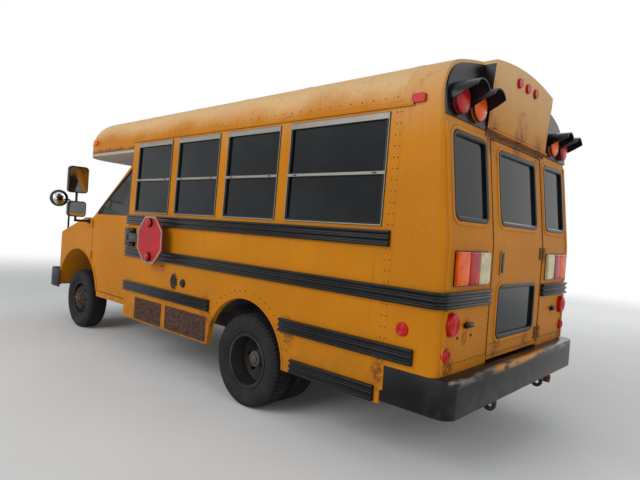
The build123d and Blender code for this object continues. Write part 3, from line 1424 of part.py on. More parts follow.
def bench_frames():
    """Legs and rails under the benches."""
    shapes = []
    half = BENCH_W / 2
    for x, y in bench_spots():
        low = FLOOR_Z
        frame = block(x - half + 30, x + half - 30, y - BENCH_D + 60, y - 30, BENCH_Z - 30, BENCH_Z)
        inner = x - math.copysign(half - 60, x)
        leg_low, leg_high = sorted((inner, inner + math.copysign(30, x)))
        for leg_y in (y - BENCH_D + 80, y - 80):
            frame += block(leg_low, leg_high, leg_y - 15, leg_y + 15, low, BENCH_Z - 20)
        shapes.append(frame)
    return group(shapes)


def driver_seat():
    """Driver's seat with its pedestal."""
    x = COLUMN_X
    y = FIREWALL_Y + 960
    z = FLOOR_Z + DRIVER_SEAT_H
    half = DRIVER_SEAT_W / 2
    seat = round_across(y - 480, y, z - 110, z, 45, x - half, x + half)
    back = round_across(y - 40, y + 80, z - 60, z + 620, 45, x - half, x + half)
    return seat + back + block(x - half + 80, x + half - 80, y - 400, y - 60, FLOOR_Z, z - 100)


def on_rear(x, z, radius, proud):
    """Round lamp that stands proud of the rear wall's skin."""
    back = rear_y(z)
    return rod_y(radius, x, back, back + proud, z)


def on_side(y, z, radius, proud):
    """Round lamp that stands proud of the left side's flat skin."""
    return rod_x(radius, HALF_W, HALF_W + proud, y, z)


def lamp_seats(x_spots, face_of, low_y):
    """Round seats with peaked hoods for warning lamps that face the rear."""
    rim_r = WARN_R + HOOD_GAP + HOOD_SHEET
    z = WARN_Z
    shape = None
    for x in x_spots:
        face = face_of(x)
        tip = face + HOOD_DEPTH
        hood = rod_y(rim_r, x, face - HOOD_ROOT, tip, z)
        hood -= rod_y(WARN_R + HOOD_GAP, x, face - HOOD_ROOT - 1, tip + 1, z)
        side = ((face - HOOD_ROOT, z), (face, z + HOOD_CUT[0]), (tip, z + HOOD_CUT[1]), (tip, z + rim_r),
                (face - HOOD_ROOT, z + rim_r))
        hood &= across(side, x - rim_r, x + rim_r)
        seat = hood + rod_y(rim_r, x, low_y, face, z)
        shape = seat if shape is None else shape + seat
    return shape


def rear_lamp_face(x):
    """Place of the upright seat of a rear warning lamp, clear of the leaning panel."""
    return rear_y(WARN_Z - WARN_R - HOOD_GAP - HOOD_SHEET) + POD


def front_lamp_face(x):
    """Place of the upright seat of a front warning lamp, clear of the curved cap, facing the rear."""
    near = x - WARN_R - HOOD_GAP - HOOD_SHEET
    reach = CAP_FRONT_R - CAP_CORNER_R
    middle = CAP_CORNER_Y + math.sqrt(reach ** 2 - (EAVE_HALF_W - CAP_CORNER_R) ** 2)
    return math.sqrt(CAP_FRONT_R ** 2 - near ** 2) - middle + POD


def facing_front(shape):
    """A shape made facing the rear, turned over to face the front."""
    return mirror(shape, about=Plane.XZ)


def rear_pod():
    """Black panel of the left pair of rear warning lamps, up to the roof's edge, with their hoods."""
    panel = rear_layer(POD, 0, POD_LOW_Z, ROOF_Z, HALF_W)
    panel &= body_prism(POD_EDGE, REAR_CAP_Y, REAR_END_Y)
    panel &= block(CENTRE_HALF_W, HALF_W, REAR_CAP_Y, REAR_END_Y, 0, ROOF_Z)
    cheek = centre_prism(CENTRE_HALF_W, CENTRE_HALF_W + CHEEK) & body_prism(POD_EDGE, REAR_CAP_Y, REAR_END_Y)
    seats = lamp_seats(WARN_X["rear"], rear_lamp_face, REAR_CAP_Y)
    z0, z1 = POD_LOW_Z - WALL, ROOF_Z
    behind = ((rear_y(z0), z0), (rear_y(z1), z1), (REAR_CAP_Y - WALL, z1), (REAR_CAP_Y - WALL, z0))
    return panel + cheek + (seats - across(behind, 0, HALF_W))


def front_pod():
    """Black panel of the left pair of front warning lamps, on the cap's nose, with their hoods."""
    x0, x1, z0, z1 = FRONT_POD
    panel = cap_volume(-POD, CAP_LOW_Z) & block(x0, x1, FRONT_END_Y, CAP_CORNER_Y, z0, z1)
    seats = facing_front(lamp_seats(WARN_X["front"], front_lamp_face, -CAP_CORNER_Y))
    return panel + seats - cap_volume(0, CAP_LOW_Z - WALL)


def warning_pods():
    """Black panels and peaked hoods of the warning lamps, at the rear and at the front."""
    return group(both_sides(rear_pod()) + both_sides(front_pod()))


def centre_y(z):
    """Place of the face of the box that carries the rear sign, at a height."""
    foot, head = CENTRE_PROUD
    z0, z1 = CENTRE_Z
    return rear_y(z) + foot + (head - foot) * (z - z0) / (z1 - z0)


def centre_prism(x0, x1):
    """Side view of the box that carries the rear sign, carried from x0 to x1."""
    z0, z1 = CENTRE_Z
    return across([(rear_y(z0), z0), (centre_y(z0), z0), (centre_y(z1), z1), (rear_y(z1), z1)], x0, x1)


def sign_panels():
    """Box on the rear with its blank sign and drip ledge, and the blank sign on the front cap."""
    half = CENTRE_HALF_W
    box = centre_prism(-half, half) & body_prism(0, REAR_CAP_Y, REAR_END_Y)
    z0, z1 = REAR_SIGN_Z
    sign = SIGN_SHEET
    face = [(centre_y(z0), z0), (centre_y(z0) + sign, z0), (centre_y(z1) + sign, z1), (centre_y(z1), z1)]
    box += across(face, -REAR_SIGN_HALF_W, REAR_SIGN_HALF_W)
    foot = CENTRE_Z[0]
    box += block(-half, half, rear_y(foot), centre_y(foot) + LEDGE, foot, foot + LEDGE_THICK)
    front = cap_volume(-SIGN_SHEET, CAP_LOW_Z)
    z0, z1 = FRONT_SIGN_Z
    front &= block(-FRONT_SIGN_HALF_W, FRONT_SIGN_HALF_W, FRONT_END_Y, CAP_CORNER_Y, z0, z1)
    return group([box, front - cap_volume(0, CAP_LOW_Z - WALL)])


def warning_lamps(index):
    """Warning lamps of one colour at the rear and at the front: lenses on their seats."""
    shapes = []
    x = WARN_X["rear"][index]
    y = rear_lamp_face(x)
    shapes += both_sides(rod_y(WARN_R, x, y, y + WARN_LENS, WARN_Z))
    x = WARN_X["front"][index]
    y = front_lamp_face(x)
    return shapes + both_sides(facing_front(rod_y(WARN_R, x, y, y + WARN_LENS, WARN_Z)))


def rear_markers():
    """Three round marker lamps high on the rear."""
    shapes = []
    for x, z in REAR_MARKERS:
        lamp = rod_y(MARKER_R, x, centre_y(z) - MARKER_R / 2, centre_y(z) + MARKER_PROUD, z)
        lamp -= centre_prism(-HALF_W, HALF_W)
        shapes += both_sides(lamp) if x else [lamp]
    return shapes


def front_markers():
    """Three round marker lamps high on the front cap."""
    layer = cap_volume(-MARKER_PROUD, CAP_LOW_Z) - cap_volume(0, CAP_LOW_Z - WALL)
    shapes = []
    for x, z in FRONT_MARKERS:
        lamp = layer & rod_y(MARKER_R, x, FRONT_END_Y, CAP_CORNER_Y, z)
        shapes += both_sides(lamp) if x else [lamp]
    return shapes


def edge_markers(y, z):
    """Oblong marker lamp on each side under the roof's edge."""
    half_y, half_z, radius = EDGE_MARKER
    x1 = EAVE_HALF_W + MARKER_PROUD
    lamp = round_across(y - half_y, y + half_y, z - half_z, z + half_z, radius, CORNER_X, x1)
    return both_sides(lamp - body_prism(0, y - HALF_W, y + HALF_W))


def tail_lamp_third(index):
    """One of the three lenses of the left tail lamp, counted from the middle of the bus."""
    x0, x1, z0, z1 = TAIL_LAMP
    third = (x1 - x0) / 3
    low = x0 + index * third
    end = x1 if index == 2 else low + third - 1
    return block(low, end, REAR_WALL_Y, REAR_WALL_Y + TAIL_LAMP_PROUD, z0, z1)


def lamps_red():
    """Red lamps and reflectors."""
    shapes = warning_lamps(1) + both_sides(tail_lamp_third(1)) + rear_markers()
    shapes += edge_markers(*REAR_EDGE_MARKER)
    for lamp in REAR_ROUND_LAMPS:
        shapes += both_sides(on_rear(*lamp))
    return group(shapes + both_sides(on_side(*SIDE_REFLECTOR)))


def lamps_amber():
    """Amber lamps."""
    shapes = warning_lamps(0) + both_sides(tail_lamp_third(2)) + front_markers()
    return group(shapes + edge_markers(*FRONT_EDGE_MARKER))


def lamps_clear():
    """Headlamps and reversing lamps."""
    x0, x1, z0, z1 = HEADLAMP
    gap = SEAT_GAP
    head = block(x0 + gap, x1 - gap, NOSE_Y + 8, NOSE_Y + 38, z0 + gap, z1 - gap)
    return group(both_sides(tail_lamp_third(0)) + both_sides(head))


def mirrors():
    """Outside mirrors on their arms, and the cross-view mirrors ahead of the cab."""
    x = CAB_HALF_W
    half = MIRROR_DEPTH / 2
    front = MIRROR_Y - half
    cab = cab_volume(0)
    outside = block(x, x + 10, front - 35, front + 35, MIRROR_ARM_Z - 30, MIRROR_ARM_Z + 30)
    outside += rod_x(MIRROR_ARM_R, x + 5, MIRROR_STALK_X, front, MIRROR_ARM_Z)
    stalk_top = MIRROR_HEADS[0][3] - 80
    outside += rod_z(MIRROR_ARM_R, MIRROR_STALK_X, front, MIRROR_ARM_Z - MIRROR_ARM_R, stalk_top)
    for x0, x1, z0, z1 in MIRROR_HEADS:
        outside += round_along(x0, x1, z0, z1, 40, front, MIRROR_Y + half)
    front_y = NOSE_Y + 60
    bar = rod_z(12, x - 100, front_y + 60, 1140, 1640) - cab
    cross = Pos(x + 20, front_y, 1655) * Sphere(115)
    cross &= block(x - 200, x + 200, front_y - 60, front_y + 60, 1500, 1800)
    cross_arm = rod_x(12, x - 100, x + 20, front_y + 60, 1640)
    return group(both_sides(outside) + both_sides(bar + cross + cross_arm))


def mirror_glass():
    """Glass of the outside mirrors, facing back to the driver."""
    y = MIRROR_Y + MIRROR_DEPTH / 2
    panes = []
    for x0, x1, z0, z1 in MIRROR_HEADS:
        panes += both_sides(round_along(x0 + 12, x1 - 12, z0 + 12, z1 - 12, 30, y, y + 4))
    return group(panes)


def window_frames():
    """Frames of all side windows."""
    shapes = []
    for y0, y1 in window_spans():
        shapes += both_sides(window_frame(y0, y1))
    return group(shapes)


def body_glass():
    """Panes of the side windows and of the rear windows beside the door."""
    shapes = both_sides(rear_side_pane())
    for y0, y1 in window_spans():
        for pane in window_pane(y0, y1):
            shapes += both_sides(pane)
    return group(shapes)


def wheels():
    """Tyres and rims of the four corners, by node name."""
    front_tyre = tyre(FRONT_TRACK_X, FRONT_AXLE_Y)
    rear_tyres = group([tyre(TWIN_OUTER_X, REAR_AXLE_Y), tyre(TWIN_INNER_X, REAR_AXLE_Y)])
    rims = front_rim()
    twins = rear_rims()
    return {
        "tyre_front_left": front_tyre,
        "tyre_front_right": mirrored(front_tyre),
        "tyres_rear_left": rear_tyres,
        "tyres_rear_right": mirrored(rear_tyres),
        "rim_front_left": rims,
        "rim_front_right": mirrored(rims),
        "rims_rear_left": twins,
        "rims_rear_right": mirrored(twins),
        "knuckle_left": knuckle(),
        "knuckle_right": mirrored(knuckle()),
    }


def entry_doors():
    """Leaves and panes of the entry door, by node name."""
    front, rear = leaf_spans()
    return {
        "entry_leaf_front": entry_leaf(*front) + hinge_half("entry_front", True),
        "entry_leaf_rear": entry_leaf(*rear) + hinge_half("entry_rear", True),
        "entry_glass_front": entry_leaf_glass(*front),
        "entry_glass_rear": entry_leaf_glass(*rear),
    }


def body_pieces():
    """Every other piece, by node name."""
    builders = (
        left_wall, roof_shell, rear_wall, body_floor, window_frames, body_glass, rub_rails, vent_grilles,
        cab_shell, hood_panel, driver_door, driver_door_glass, windscreen, grille, rear_bumper, front_bumper,
        chassis_frame, engine_block, driveline, rear_springs, front_suspension, fuel_tank, exhaust,
        front_cap, soffit_panel, entry_portal, rear_door, rear_door_glass, stop_sign, stop_arm_base,
        dashboard, steering_wheel, bench_cushions, bench_frames, driver_seat, warning_pods, sign_panels,
        lamps_red, lamps_amber, lamps_clear, mirrors, mirror_glass,
    )
    pieces = {build.__name__: build() for build in builders}
    pieces["right_wall"] = mirrored(side_wall())
    return pieces


os.makedirs("parts", exist_ok=True)
for name, shape in {**body_pieces(), **wheels(), **entry_doors()}.items():
    export_step(shape, f"parts/{name}.step")
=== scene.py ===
"""Looks of a short school bus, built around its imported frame.

Metres throughout. +X is the left of the bus, -Y its front and +Z up.
"""

from functools import cache
from math import copysign, cos, pi, radians, sin

import bmesh
import bpy
from bpy.props import FloatProperty, FloatVectorProperty, IntProperty, PointerProperty
from mathutils import Matrix, Vector
from mathutils.bvhtree import BVHTree
from mathutils.geometry import convex_hull_2d


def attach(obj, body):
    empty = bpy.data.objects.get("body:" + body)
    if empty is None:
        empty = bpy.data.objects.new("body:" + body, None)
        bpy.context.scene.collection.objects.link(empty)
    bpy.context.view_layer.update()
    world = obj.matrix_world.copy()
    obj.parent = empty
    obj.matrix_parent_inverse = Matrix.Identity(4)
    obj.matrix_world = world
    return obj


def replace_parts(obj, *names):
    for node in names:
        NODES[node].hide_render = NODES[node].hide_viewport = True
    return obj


bl_info = {
    "name": "Short school bus",
    "version": (1, 0, 0),
    "blender": (4, 5, 0),
    "location": "3D View > Sidebar > Bus",
    "description": "Dresses the frame of a short school bus with its fittings and finishes",
    "category": "Object",
}

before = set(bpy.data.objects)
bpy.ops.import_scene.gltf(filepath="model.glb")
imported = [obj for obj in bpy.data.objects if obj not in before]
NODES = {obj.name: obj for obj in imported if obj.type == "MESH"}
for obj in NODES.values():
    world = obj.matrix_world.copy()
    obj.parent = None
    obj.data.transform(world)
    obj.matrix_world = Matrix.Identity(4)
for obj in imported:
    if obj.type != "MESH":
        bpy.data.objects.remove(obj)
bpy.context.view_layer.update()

X, Y, Z = (Vector(axis) for axis in ((1, 0, 0), (0, 1, 0), (0, 0, 1)))
SIDES = (1, -1)

# Camera of the photograph: place, turn about Z, dip and tilt in degrees, and lens
EYE = (3.716, 4.403, 1.459)
EYE_YAW = 47.71997
EYE_PITCH = -1.11196
EYE_ROLL = 3.93119
EYE_LENS_MM = 28.385

# The body's flat sides and upright rear wall, and the middle of the roof's curve
SIDE_X = 1.125
REAR_Y = 3.005
ROOF_CENTRE_Z = 1.75
BODY_PANELS = ("left_wall", "right_wall", "roof_shell", "rear_wall", "front_cap")
ROOF_BOWS = (-0.700, 0.110, 0.865, 1.620, 2.612)

# Wheels: side of the bus, y of the axle, x of each tyre's middle, and body
AXLE_Z = 0.372
FRONT_AXLE_Y = -2.238
REAR_AXLE_Y = 1.293
WHEELS = {
    "front_left": (1, FRONT_AXLE_Y, (0.855,), "wheel_front_left"),
    "front_right": (-1, FRONT_AXLE_Y, (0.855,), "wheel_front_right"),
    "rear_left": (1, REAR_AXLE_Y, (0.990, 0.735), "wheels_rear_left"),
    "rear_right": (-1, REAR_AXLE_Y, (0.990, 0.735), "wheels_rear_right"),
}

# Side windows from front to back, and the rear ones with their body: x from and to, z from and to
WINDOW_SPANS = ((-0.590, 0.055), (0.165, 0.810), (0.920, 1.565), (1.675, 2.560))
WINDOW_Z = (1.510, 2.230)
WINDOW_BAR_Z = 1.847
REAR_PANES = (
    ("root", (0.547, 0.989, 1.586, 2.105)), ("root", (-0.989, -0.547, 1.586, 2.105)),
    ("exit_door", (-0.337, 0.337, 1.588, 2.083)), ("exit_door", (-0.337, 0.337, 0.809, 1.156)),
)
PANE_CORNER_R = 0.045

# Starts of the rays that lay paths on the panels, clear of the bus, and the paths' close spacing
SIDE_CLEAR = 1.6
REAR_CLEAR = 3.6
ROOF_CLEAR = 2.5
CLOSE = 0.05


def linear(*screen):
    """Scene colour of a screen colour given as three numbers up to 255."""
    parts = [part / 255 for part in screen]
    return tuple(part / 12.92 if part <= 0.04045 else ((part + 0.055) / 1.055) ** 2.4 for part in parts)


def shade(colour, factor):
    """The colour made darker or lighter by a factor."""
    return tuple(min(1.0, part * factor) for part in colour)


def added(name, data):
    """New object in the scene."""
    thing = bpy.data.objects.new(name, data)
    bpy.context.scene.collection.objects.link(thing)
    return thing


# Sizes and colours that a user may change

class BusSizes(bpy.types.PropertyGroup):
    """Sizes of the fittings."""
    rivet_pitch: FloatProperty(
        name="Rivet pitch", description="Spacing of the body rivets", default=0.058, min=0.02, unit="LENGTH")
    rivet_radius: FloatProperty(
        name="Rivet radius", description="Radius of a rivet head", default=0.0052, min=0.001, unit="LENGTH")
    seal_radius: FloatProperty(
        name="Seal radius", description="Half width of the rear windows' rubber", default=0.017, min=0.002,
        unit="LENGTH")
    tread_depth: FloatProperty(
        name="Tread depth", description="Depth of the tyre grooves", default=0.009, min=0.001, unit="LENGTH")
    tread_pitches: IntProperty(
        name="Tread pitches", description="Tread blocks round a tyre", default=64, min=12)
    wheel_nuts: IntProperty(name="Wheel nuts", description="Nuts on each wheel", default=8, min=3)


class BusColours(bpy.types.PropertyGroup):
    """Colours of the finishes."""
    paint: FloatVectorProperty(
        name="Paint", description="Body paint", subtype="COLOR", default=linear(196, 122, 8), min=0, max=1)
    bleached: FloatVectorProperty(
        name="Bleached paint", description="Sun-bleached paint of the roof", subtype="COLOR",
        default=linear(224, 187, 138), min=0, max=1)
    rust: FloatVectorProperty(
        name="Rust", description="Rust", subtype="COLOR", default=linear(98, 50, 26), min=0, max=1)
    rubber: FloatVectorProperty(
        name="Rubber", description="Tyres", subtype="COLOR", default=linear(27, 28, 30), min=0, max=1)
    seats: FloatVectorProperty(
        name="Seats", description="Seat vinyl", subtype="COLOR", default=linear(74, 36, 30), min=0, max=1)


# Nodes

class Nodes:
    """A node tree that is filled by writing its nodes down."""

    def __init__(self, tree):
        self.tree = tree
        tree.nodes.clear()

    def node(self, kind, settings=None, inputs=None):
        node = self.tree.nodes.new(kind)
        for key, value in (settings or {}).items():
            setattr(node, key, value)
        for key, value in (inputs or {}).items():
            self.put(node.inputs[key], value)
        return node

    def put(self, socket, value):
        """Links a number or a socket to a socket, or sets a plain value on it."""
        if isinstance(value, Number):
            value = value.socket
        if isinstance(value, bpy.types.NodeSocket):
            self.tree.links.new(value, socket)
        elif socket.type == "RGBA":
            socket.default_value = (*value, 1.0)
        else:
            socket.default_value = value


class Number:
    """The number on a socket, for sums written with the usual signs."""

    def __init__(self, nodes, socket):
        self.nodes = nodes
        self.socket = socket

    def sum(self, operation, *values):
        node = self.nodes.node("ShaderNodeMath", {"operation": operation}, dict(enumerate(values)))
        return Number(self.nodes, node.outputs[0])

    def __add__(self, other):
        return self.sum("ADD", self, other)

    def __sub__(self, other):
        return self.sum("SUBTRACT", self, other)

    def __rsub__(self, other):
        return self.sum("SUBTRACT", other, self)

    def __mul__(self, other):
        return self.sum("MULTIPLY", self, other)

    def __abs__(self):
        return self.sum("ABSOLUTE", self)

    def greater(self, other):
        return self.sum("MAXIMUM", self, other)

    __radd__ = __add__
    __rmul__ = __mul__


class Finish(Nodes):
    """A material with one Principled surface."""

    def __init__(self, slot):
        self.material = bpy.data.materials.new(f"bus_{slot}")
        self.material.use_nodes = True
        super().__init__(self.material.node_tree)
        self.surface = self.node("ShaderNodeBsdfPrincipled")
        self.node("ShaderNodeOutputMaterial", None, {"Surface": self.surface.outputs[0]})
        self.spot = self.node("ShaderNodeTexCoord").outputs["Object"]
        apart = self.node("ShaderNodeSeparateXYZ", None, {0: self.spot})
        self.x, self.y, self.z = (Number(self, socket) for socket in apart.outputs)

    def stretched(self, scale):
        return self.node("ShaderNodeMapping", None, {0: self.spot, "Scale": scale}).outputs[0]

    def noise(self, scale, detail=3.0, stretch=None, seed=0.0):
        node = self.node("ShaderNodeTexNoise", {"noise_dimensions": "4D"}, {
            "Vector": self.stretched(stretch) if stretch else self.spot,
            "Scale": scale, "Detail": detail, "W": seed})
        return Number(self, node.outputs[0])

    def cells(self, scale):
        node = self.node("ShaderNodeTexVoronoi", None, {"Vector": self.spot, "Scale": scale})
        return Number(self, node.outputs["Distance"])

    def step(self, value, low, high):
        """Rises smoothly from 0 at low to 1 at high, or falls where low is the greater."""
        node = self.node("ShaderNodeMapRange", {"interpolation_type": "SMOOTHSTEP"}, {
            "Value": value, "From Min": low, "From Max": high})
        return Number(self, node.outputs[0])

    def mix(self, factor, first, second):
        return self.node("ShaderNodeMix", {"data_type": "RGBA"}, {0: factor, 6: first, 7: second}).outputs[2]

    def bump(self, height, distance, strength=1.0, **after):
        return self.node("ShaderNodeBump", None, {
            "Height": height, "Distance": distance, "Strength": strength, **after}).outputs[0]

    def show(self, colour, roughness, **settings):
        for key, value in {"Base_Color": colour, "Roughness": roughness, **settings}.items():
            self.put(self.surface.inputs[key.replace("_", " ")], value)


# Finishes

# Rusty patches with runs below them: place and radius
RUST_MARKS = (
    ((-0.475, 3.01, 1.385), 0.085), ((-0.475, 3.01, 0.765), 0.095), ((0.781, 3.01, 0.930), 0.060),
    ((-0.781, 3.01, 0.930), 0.060), ((0.805, 3.01, 0.860), 0.055), ((0.33, 3.01, 0.705), 0.14),
    ((-0.20, 3.01, 0.700), 0.16), ((0.0, 2.98, 2.17), 0.22), ((0.45, 2.98, 2.165), 0.18),
    ((-0.40, 2.98, 2.165), 0.18), ((1.13, 0.755, 0.72), 0.13), ((1.13, 1.80, 0.72), 0.12),
    ((1.13, 0.85, 0.60), 0.08), ((-1.13, 0.755, 0.72), 0.12), ((-1.13, 1.82, 0.70), 0.12),
    ((1.13, 2.60, 0.60), 0.10), ((1.0, 3.01, 0.69), 0.12), ((-1.0, 3.01, 0.69), 0.12),
)
RUST_RUN = 0.62


def rust_marks(f, ragged):
    """How much of a spot is rust that came from a joint, a bolt or an edge."""
    across = f.stretched((1.0, 1.0, RUST_RUN))
    total = None
    for (x, y, z), radius in RUST_MARKS:
        apart = f.node("ShaderNodeVectorMath", {"operation": "DISTANCE"}, {
            0: across, 1: (x, y, z * RUST_RUN)})
        near = f.step(Number(f, apart.outputs["Value"]) + ragged * radius * 1.3, radius * 1.45, radius * 0.75)
        total = near if total is None else total.greater(near)
    return total


def body_paint(slot, colour, bleached, rust, low_fade, high_fade, marked=False, rusty_edge=None):
    """Old gloss paint: bleached from a height up, dirty low down, with rust spots."""
    f = Finish(slot)
    patches = f.noise(1.3, 4.0)
    fine = f.noise(38.0, 3.0, seed=3.0)
    streaks = f.noise(1.0, 3.0, (26.0, 26.0, 1.4), 7.0)
    bleach = f.step(f.z + patches * 0.35 + streaks * 0.08, low_fade, high_fade)
    base = f.mix(f.step(patches, 0.35, 0.7), shade(colour, 0.90), shade(colour, 1.06))
    base = f.mix(bleach * 0.92, base, bleached)
    base = f.mix(f.step(fine, 0.45, 0.8) * 0.16, base, shade(colour, 0.62))
    run = f.step(streaks, 0.52, 0.78) * f.step(patches, 0.40, 0.62) * 0.34
    base = f.mix(run, base, shade(colour, 0.48))
    dirt = f.step(f.z + patches * 0.30, 0.95, 0.42) * f.step(f.noise(9.0, 5.0, seed=2.0), 0.34, 0.72)
    base = f.mix(dirt * 0.55, base, linear(112, 84, 52))
    spots = f.step(f.cells(21.0), 0.10, 0.045) * f.step(f.noise(2.6, 2.0, seed=9.0), 0.50, 0.60)
    base = f.mix(spots * 0.85, base, rust)
    if marked:
        stain = rust_marks(f, f.noise(9.0, 6.0, seed=12.0))
        base = f.mix(stain * f.step(fine, 0.30, 0.62) * 0.85, base, rust)
    if rusty_edge:
        ragged = f.noise(12.0, 6.0, (1.0, 1.0, 0.6), 14.0)
        base = f.mix(f.step(f.z + ragged * 0.10, rusty_edge + 0.035, rusty_edge) * 0.8, base, rust)
    waves = f.bump(f.noise(2.1, 2.0, seed=5.0), 0.010, 0.35)
    f.show(base, 0.44 + bleach * 0.24 + dirt * 0.25 + fine * 0.10,
           Normal=f.bump(f.noise(240.0, 2.0), 0.0006, 0.25, Normal=waves),
           Coat_Weight=0.03, Coat_Roughness=0.30, Specular_IOR_Level=0.12)


def worn_black(slot, colour, dust, rust_share, roughness, worn_edge=False):
    """Black paint or plastic with dust on it, rubbed pale in places, and some rust."""
    f = Finish(slot)
    cloud = f.noise(3.4, 4.0)
    scuffs = f.step(f.noise(1.0, 4.0, (3.0, 3.0, 46.0), 4.0), 0.55, 0.75)
    base = f.mix(f.step(cloud, 0.38, 0.72) * 0.7, colour, dust)
    base = f.mix(scuffs * 0.22, base, shade(dust, 1.5))
    flakes = f.step(f.noise(7.0, 6.0, seed=11.0), 0.70 - 0.22 * rust_share, 0.78 - 0.20 * rust_share)
    base = f.mix(flakes * min(1.0, rust_share * 1.6), base, linear(92, 54, 33))
    if worn_edge:
        base = worn_bumper(f, base)
    f.show(base, roughness + cloud * 0.15 + flakes * 0.2,
           Normal=f.bump(f.noise(90.0, 3.0, seed=6.0), 0.0008, 0.20), Specular_IOR_Level=0.22)


def worn_bumper(f, base):
    """Rubbed top edge of the rear bumper, its paint chipped to yellow, and mud on its lower half."""
    rear = f.step(f.y, 3.070, 3.088) * f.step(f.z, 0.600, 0.640) * f.step(f.z, 0.700, 0.660)
    rubbed = f.step(f.noise(11.0, 5.0, (0.5, 1.0, 2.0), 8.0), 0.42, 0.60)
    base = f.mix(rear * rubbed, base, linear(118, 116, 108))
    chips = f.step(f.noise(6.0, 5.0, (0.6, 1.0, 1.6), 3.0), 0.46, 0.56)
    base = f.mix(rear * f.step(abs(f.x), 0.62, 0.42) * chips, base, linear(196, 130, 24))
    mud = f.step(f.y, 2.90, 3.0) * f.step(f.z, 0.62, 0.46) * f.step(f.noise(9.0, 5.0, seed=4.0), 0.40, 0.66)
    return f.mix(mud * 0.30, base, linear(96, 90, 78))


def bare_metal(slot, colour, roughness, metallic, stretch):
    """Weathered metal, brushed along one direction, with pale oxide."""
    f = Finish(slot)
    brush = f.noise(1.0, 4.0, stretch)
    oxide = f.step(f.noise(5.0, 5.0, seed=4.0), 0.42, 0.70)
    base = f.mix(brush, shade(colour, 0.78), shade(colour, 1.12))
    f.show(f.mix(oxide * 0.5, base, linear(128, 122, 112)), roughness + oxide * 0.25,
           Normal=f.bump(brush, 0.0008, 0.3), Metallic=metallic)


def window_glass(slot, colour, cover, dust):
    """Dusty glass that lets a share of the inside show."""
    f = Finish(slot)
    haze = f.noise(2.2, 5.0)
    marks = f.step(f.noise(14.0, 6.0, seed=8.0), 0.5, 0.85)
    film = f.step(haze, 0.35, 0.8) * dust + marks * (dust * 0.5)
    f.show(f.mix(film, colour, linear(104, 110, 112)), 0.045 + film * 0.4,
           Normal=f.bump(f.noise(1.6, 1.0, seed=2.0), 0.004, 0.10),
           Alpha=cover + film * 0.06, Specular_IOR_Level=0.20)


def lamp_lens(slot, colour, deep):
    """Moulded lamp lens with fine prisms behind its face."""
    f = Finish(slot)
    prisms = f.cells(150.0)
    base = f.mix(f.step(f.noise(11.0, 3.0), 0.35, 0.70), colour, deep)
    base = f.mix(f.step(prisms, 0.20, 0.05) * 0.35, base, shade(deep, 0.6))
    base = f.mix(f.step(f.noise(6.0, 4.0, seed=3.0), 0.60, 0.85) * 0.16, base, linear(120, 96, 74))
    f.show(base, 0.24 + f.noise(18.0, 3.0) * 0.12,
           Normal=f.bump(prisms, 0.0006, 0.25), Specular_IOR_Level=0.25)


def aged_tyre(slot, colour):
    """Aged tyre: dusty, with dried mud on the tread and fine cracks."""
    f = Finish(slot)
    dust = f.step(f.noise(6.5, 5.0), 0.36, 0.74)
    mud = f.step(f.noise(17.0, 6.0, seed=5.0), 0.55, 0.78) * f.step(f.z, 0.42, 0.02)
    base = f.mix(dust * 0.55, colour, linear(56, 55, 52))
    f.show(f.mix(mud * 0.6, base, linear(92, 82, 68)), 0.80 + dust * 0.12,
           Normal=f.bump(f.noise(120.0, 6.0, seed=1.0), 0.0010, 0.45), Specular_IOR_Level=0.25)


def rusty_steel(slot, dark, bright):
    """Steel rusted all over, in dark and orange blooms."""
    f = Finish(slot)
    base = f.mix(f.step(f.noise(38.0, 6.0), 0.35, 0.66), dark, bright)
    base = f.mix(f.step(f.noise(52.0, 4.0, seed=6.0), 0.55, 0.75) * 0.6, base, shade(dark, 0.5))
    f.show(base, 0.86, Normal=f.bump(f.noise(170.0, 5.0), 0.0014, 0.6))


def moulded(slot, colour, roughness, grain, depth):
    """Grained plastic, vinyl or rubber sheet."""
    f = Finish(slot)
    cloud = f.noise(4.0, 4.0)
    base = f.mix(f.step(cloud, 0.3, 0.75), shade(colour, 0.82), shade(colour, 1.15))
    f.show(base, roughness + cloud * 0.12,
           Normal=f.bump(f.cells(grain), depth, 0.4), Specular_IOR_Level=0.25)


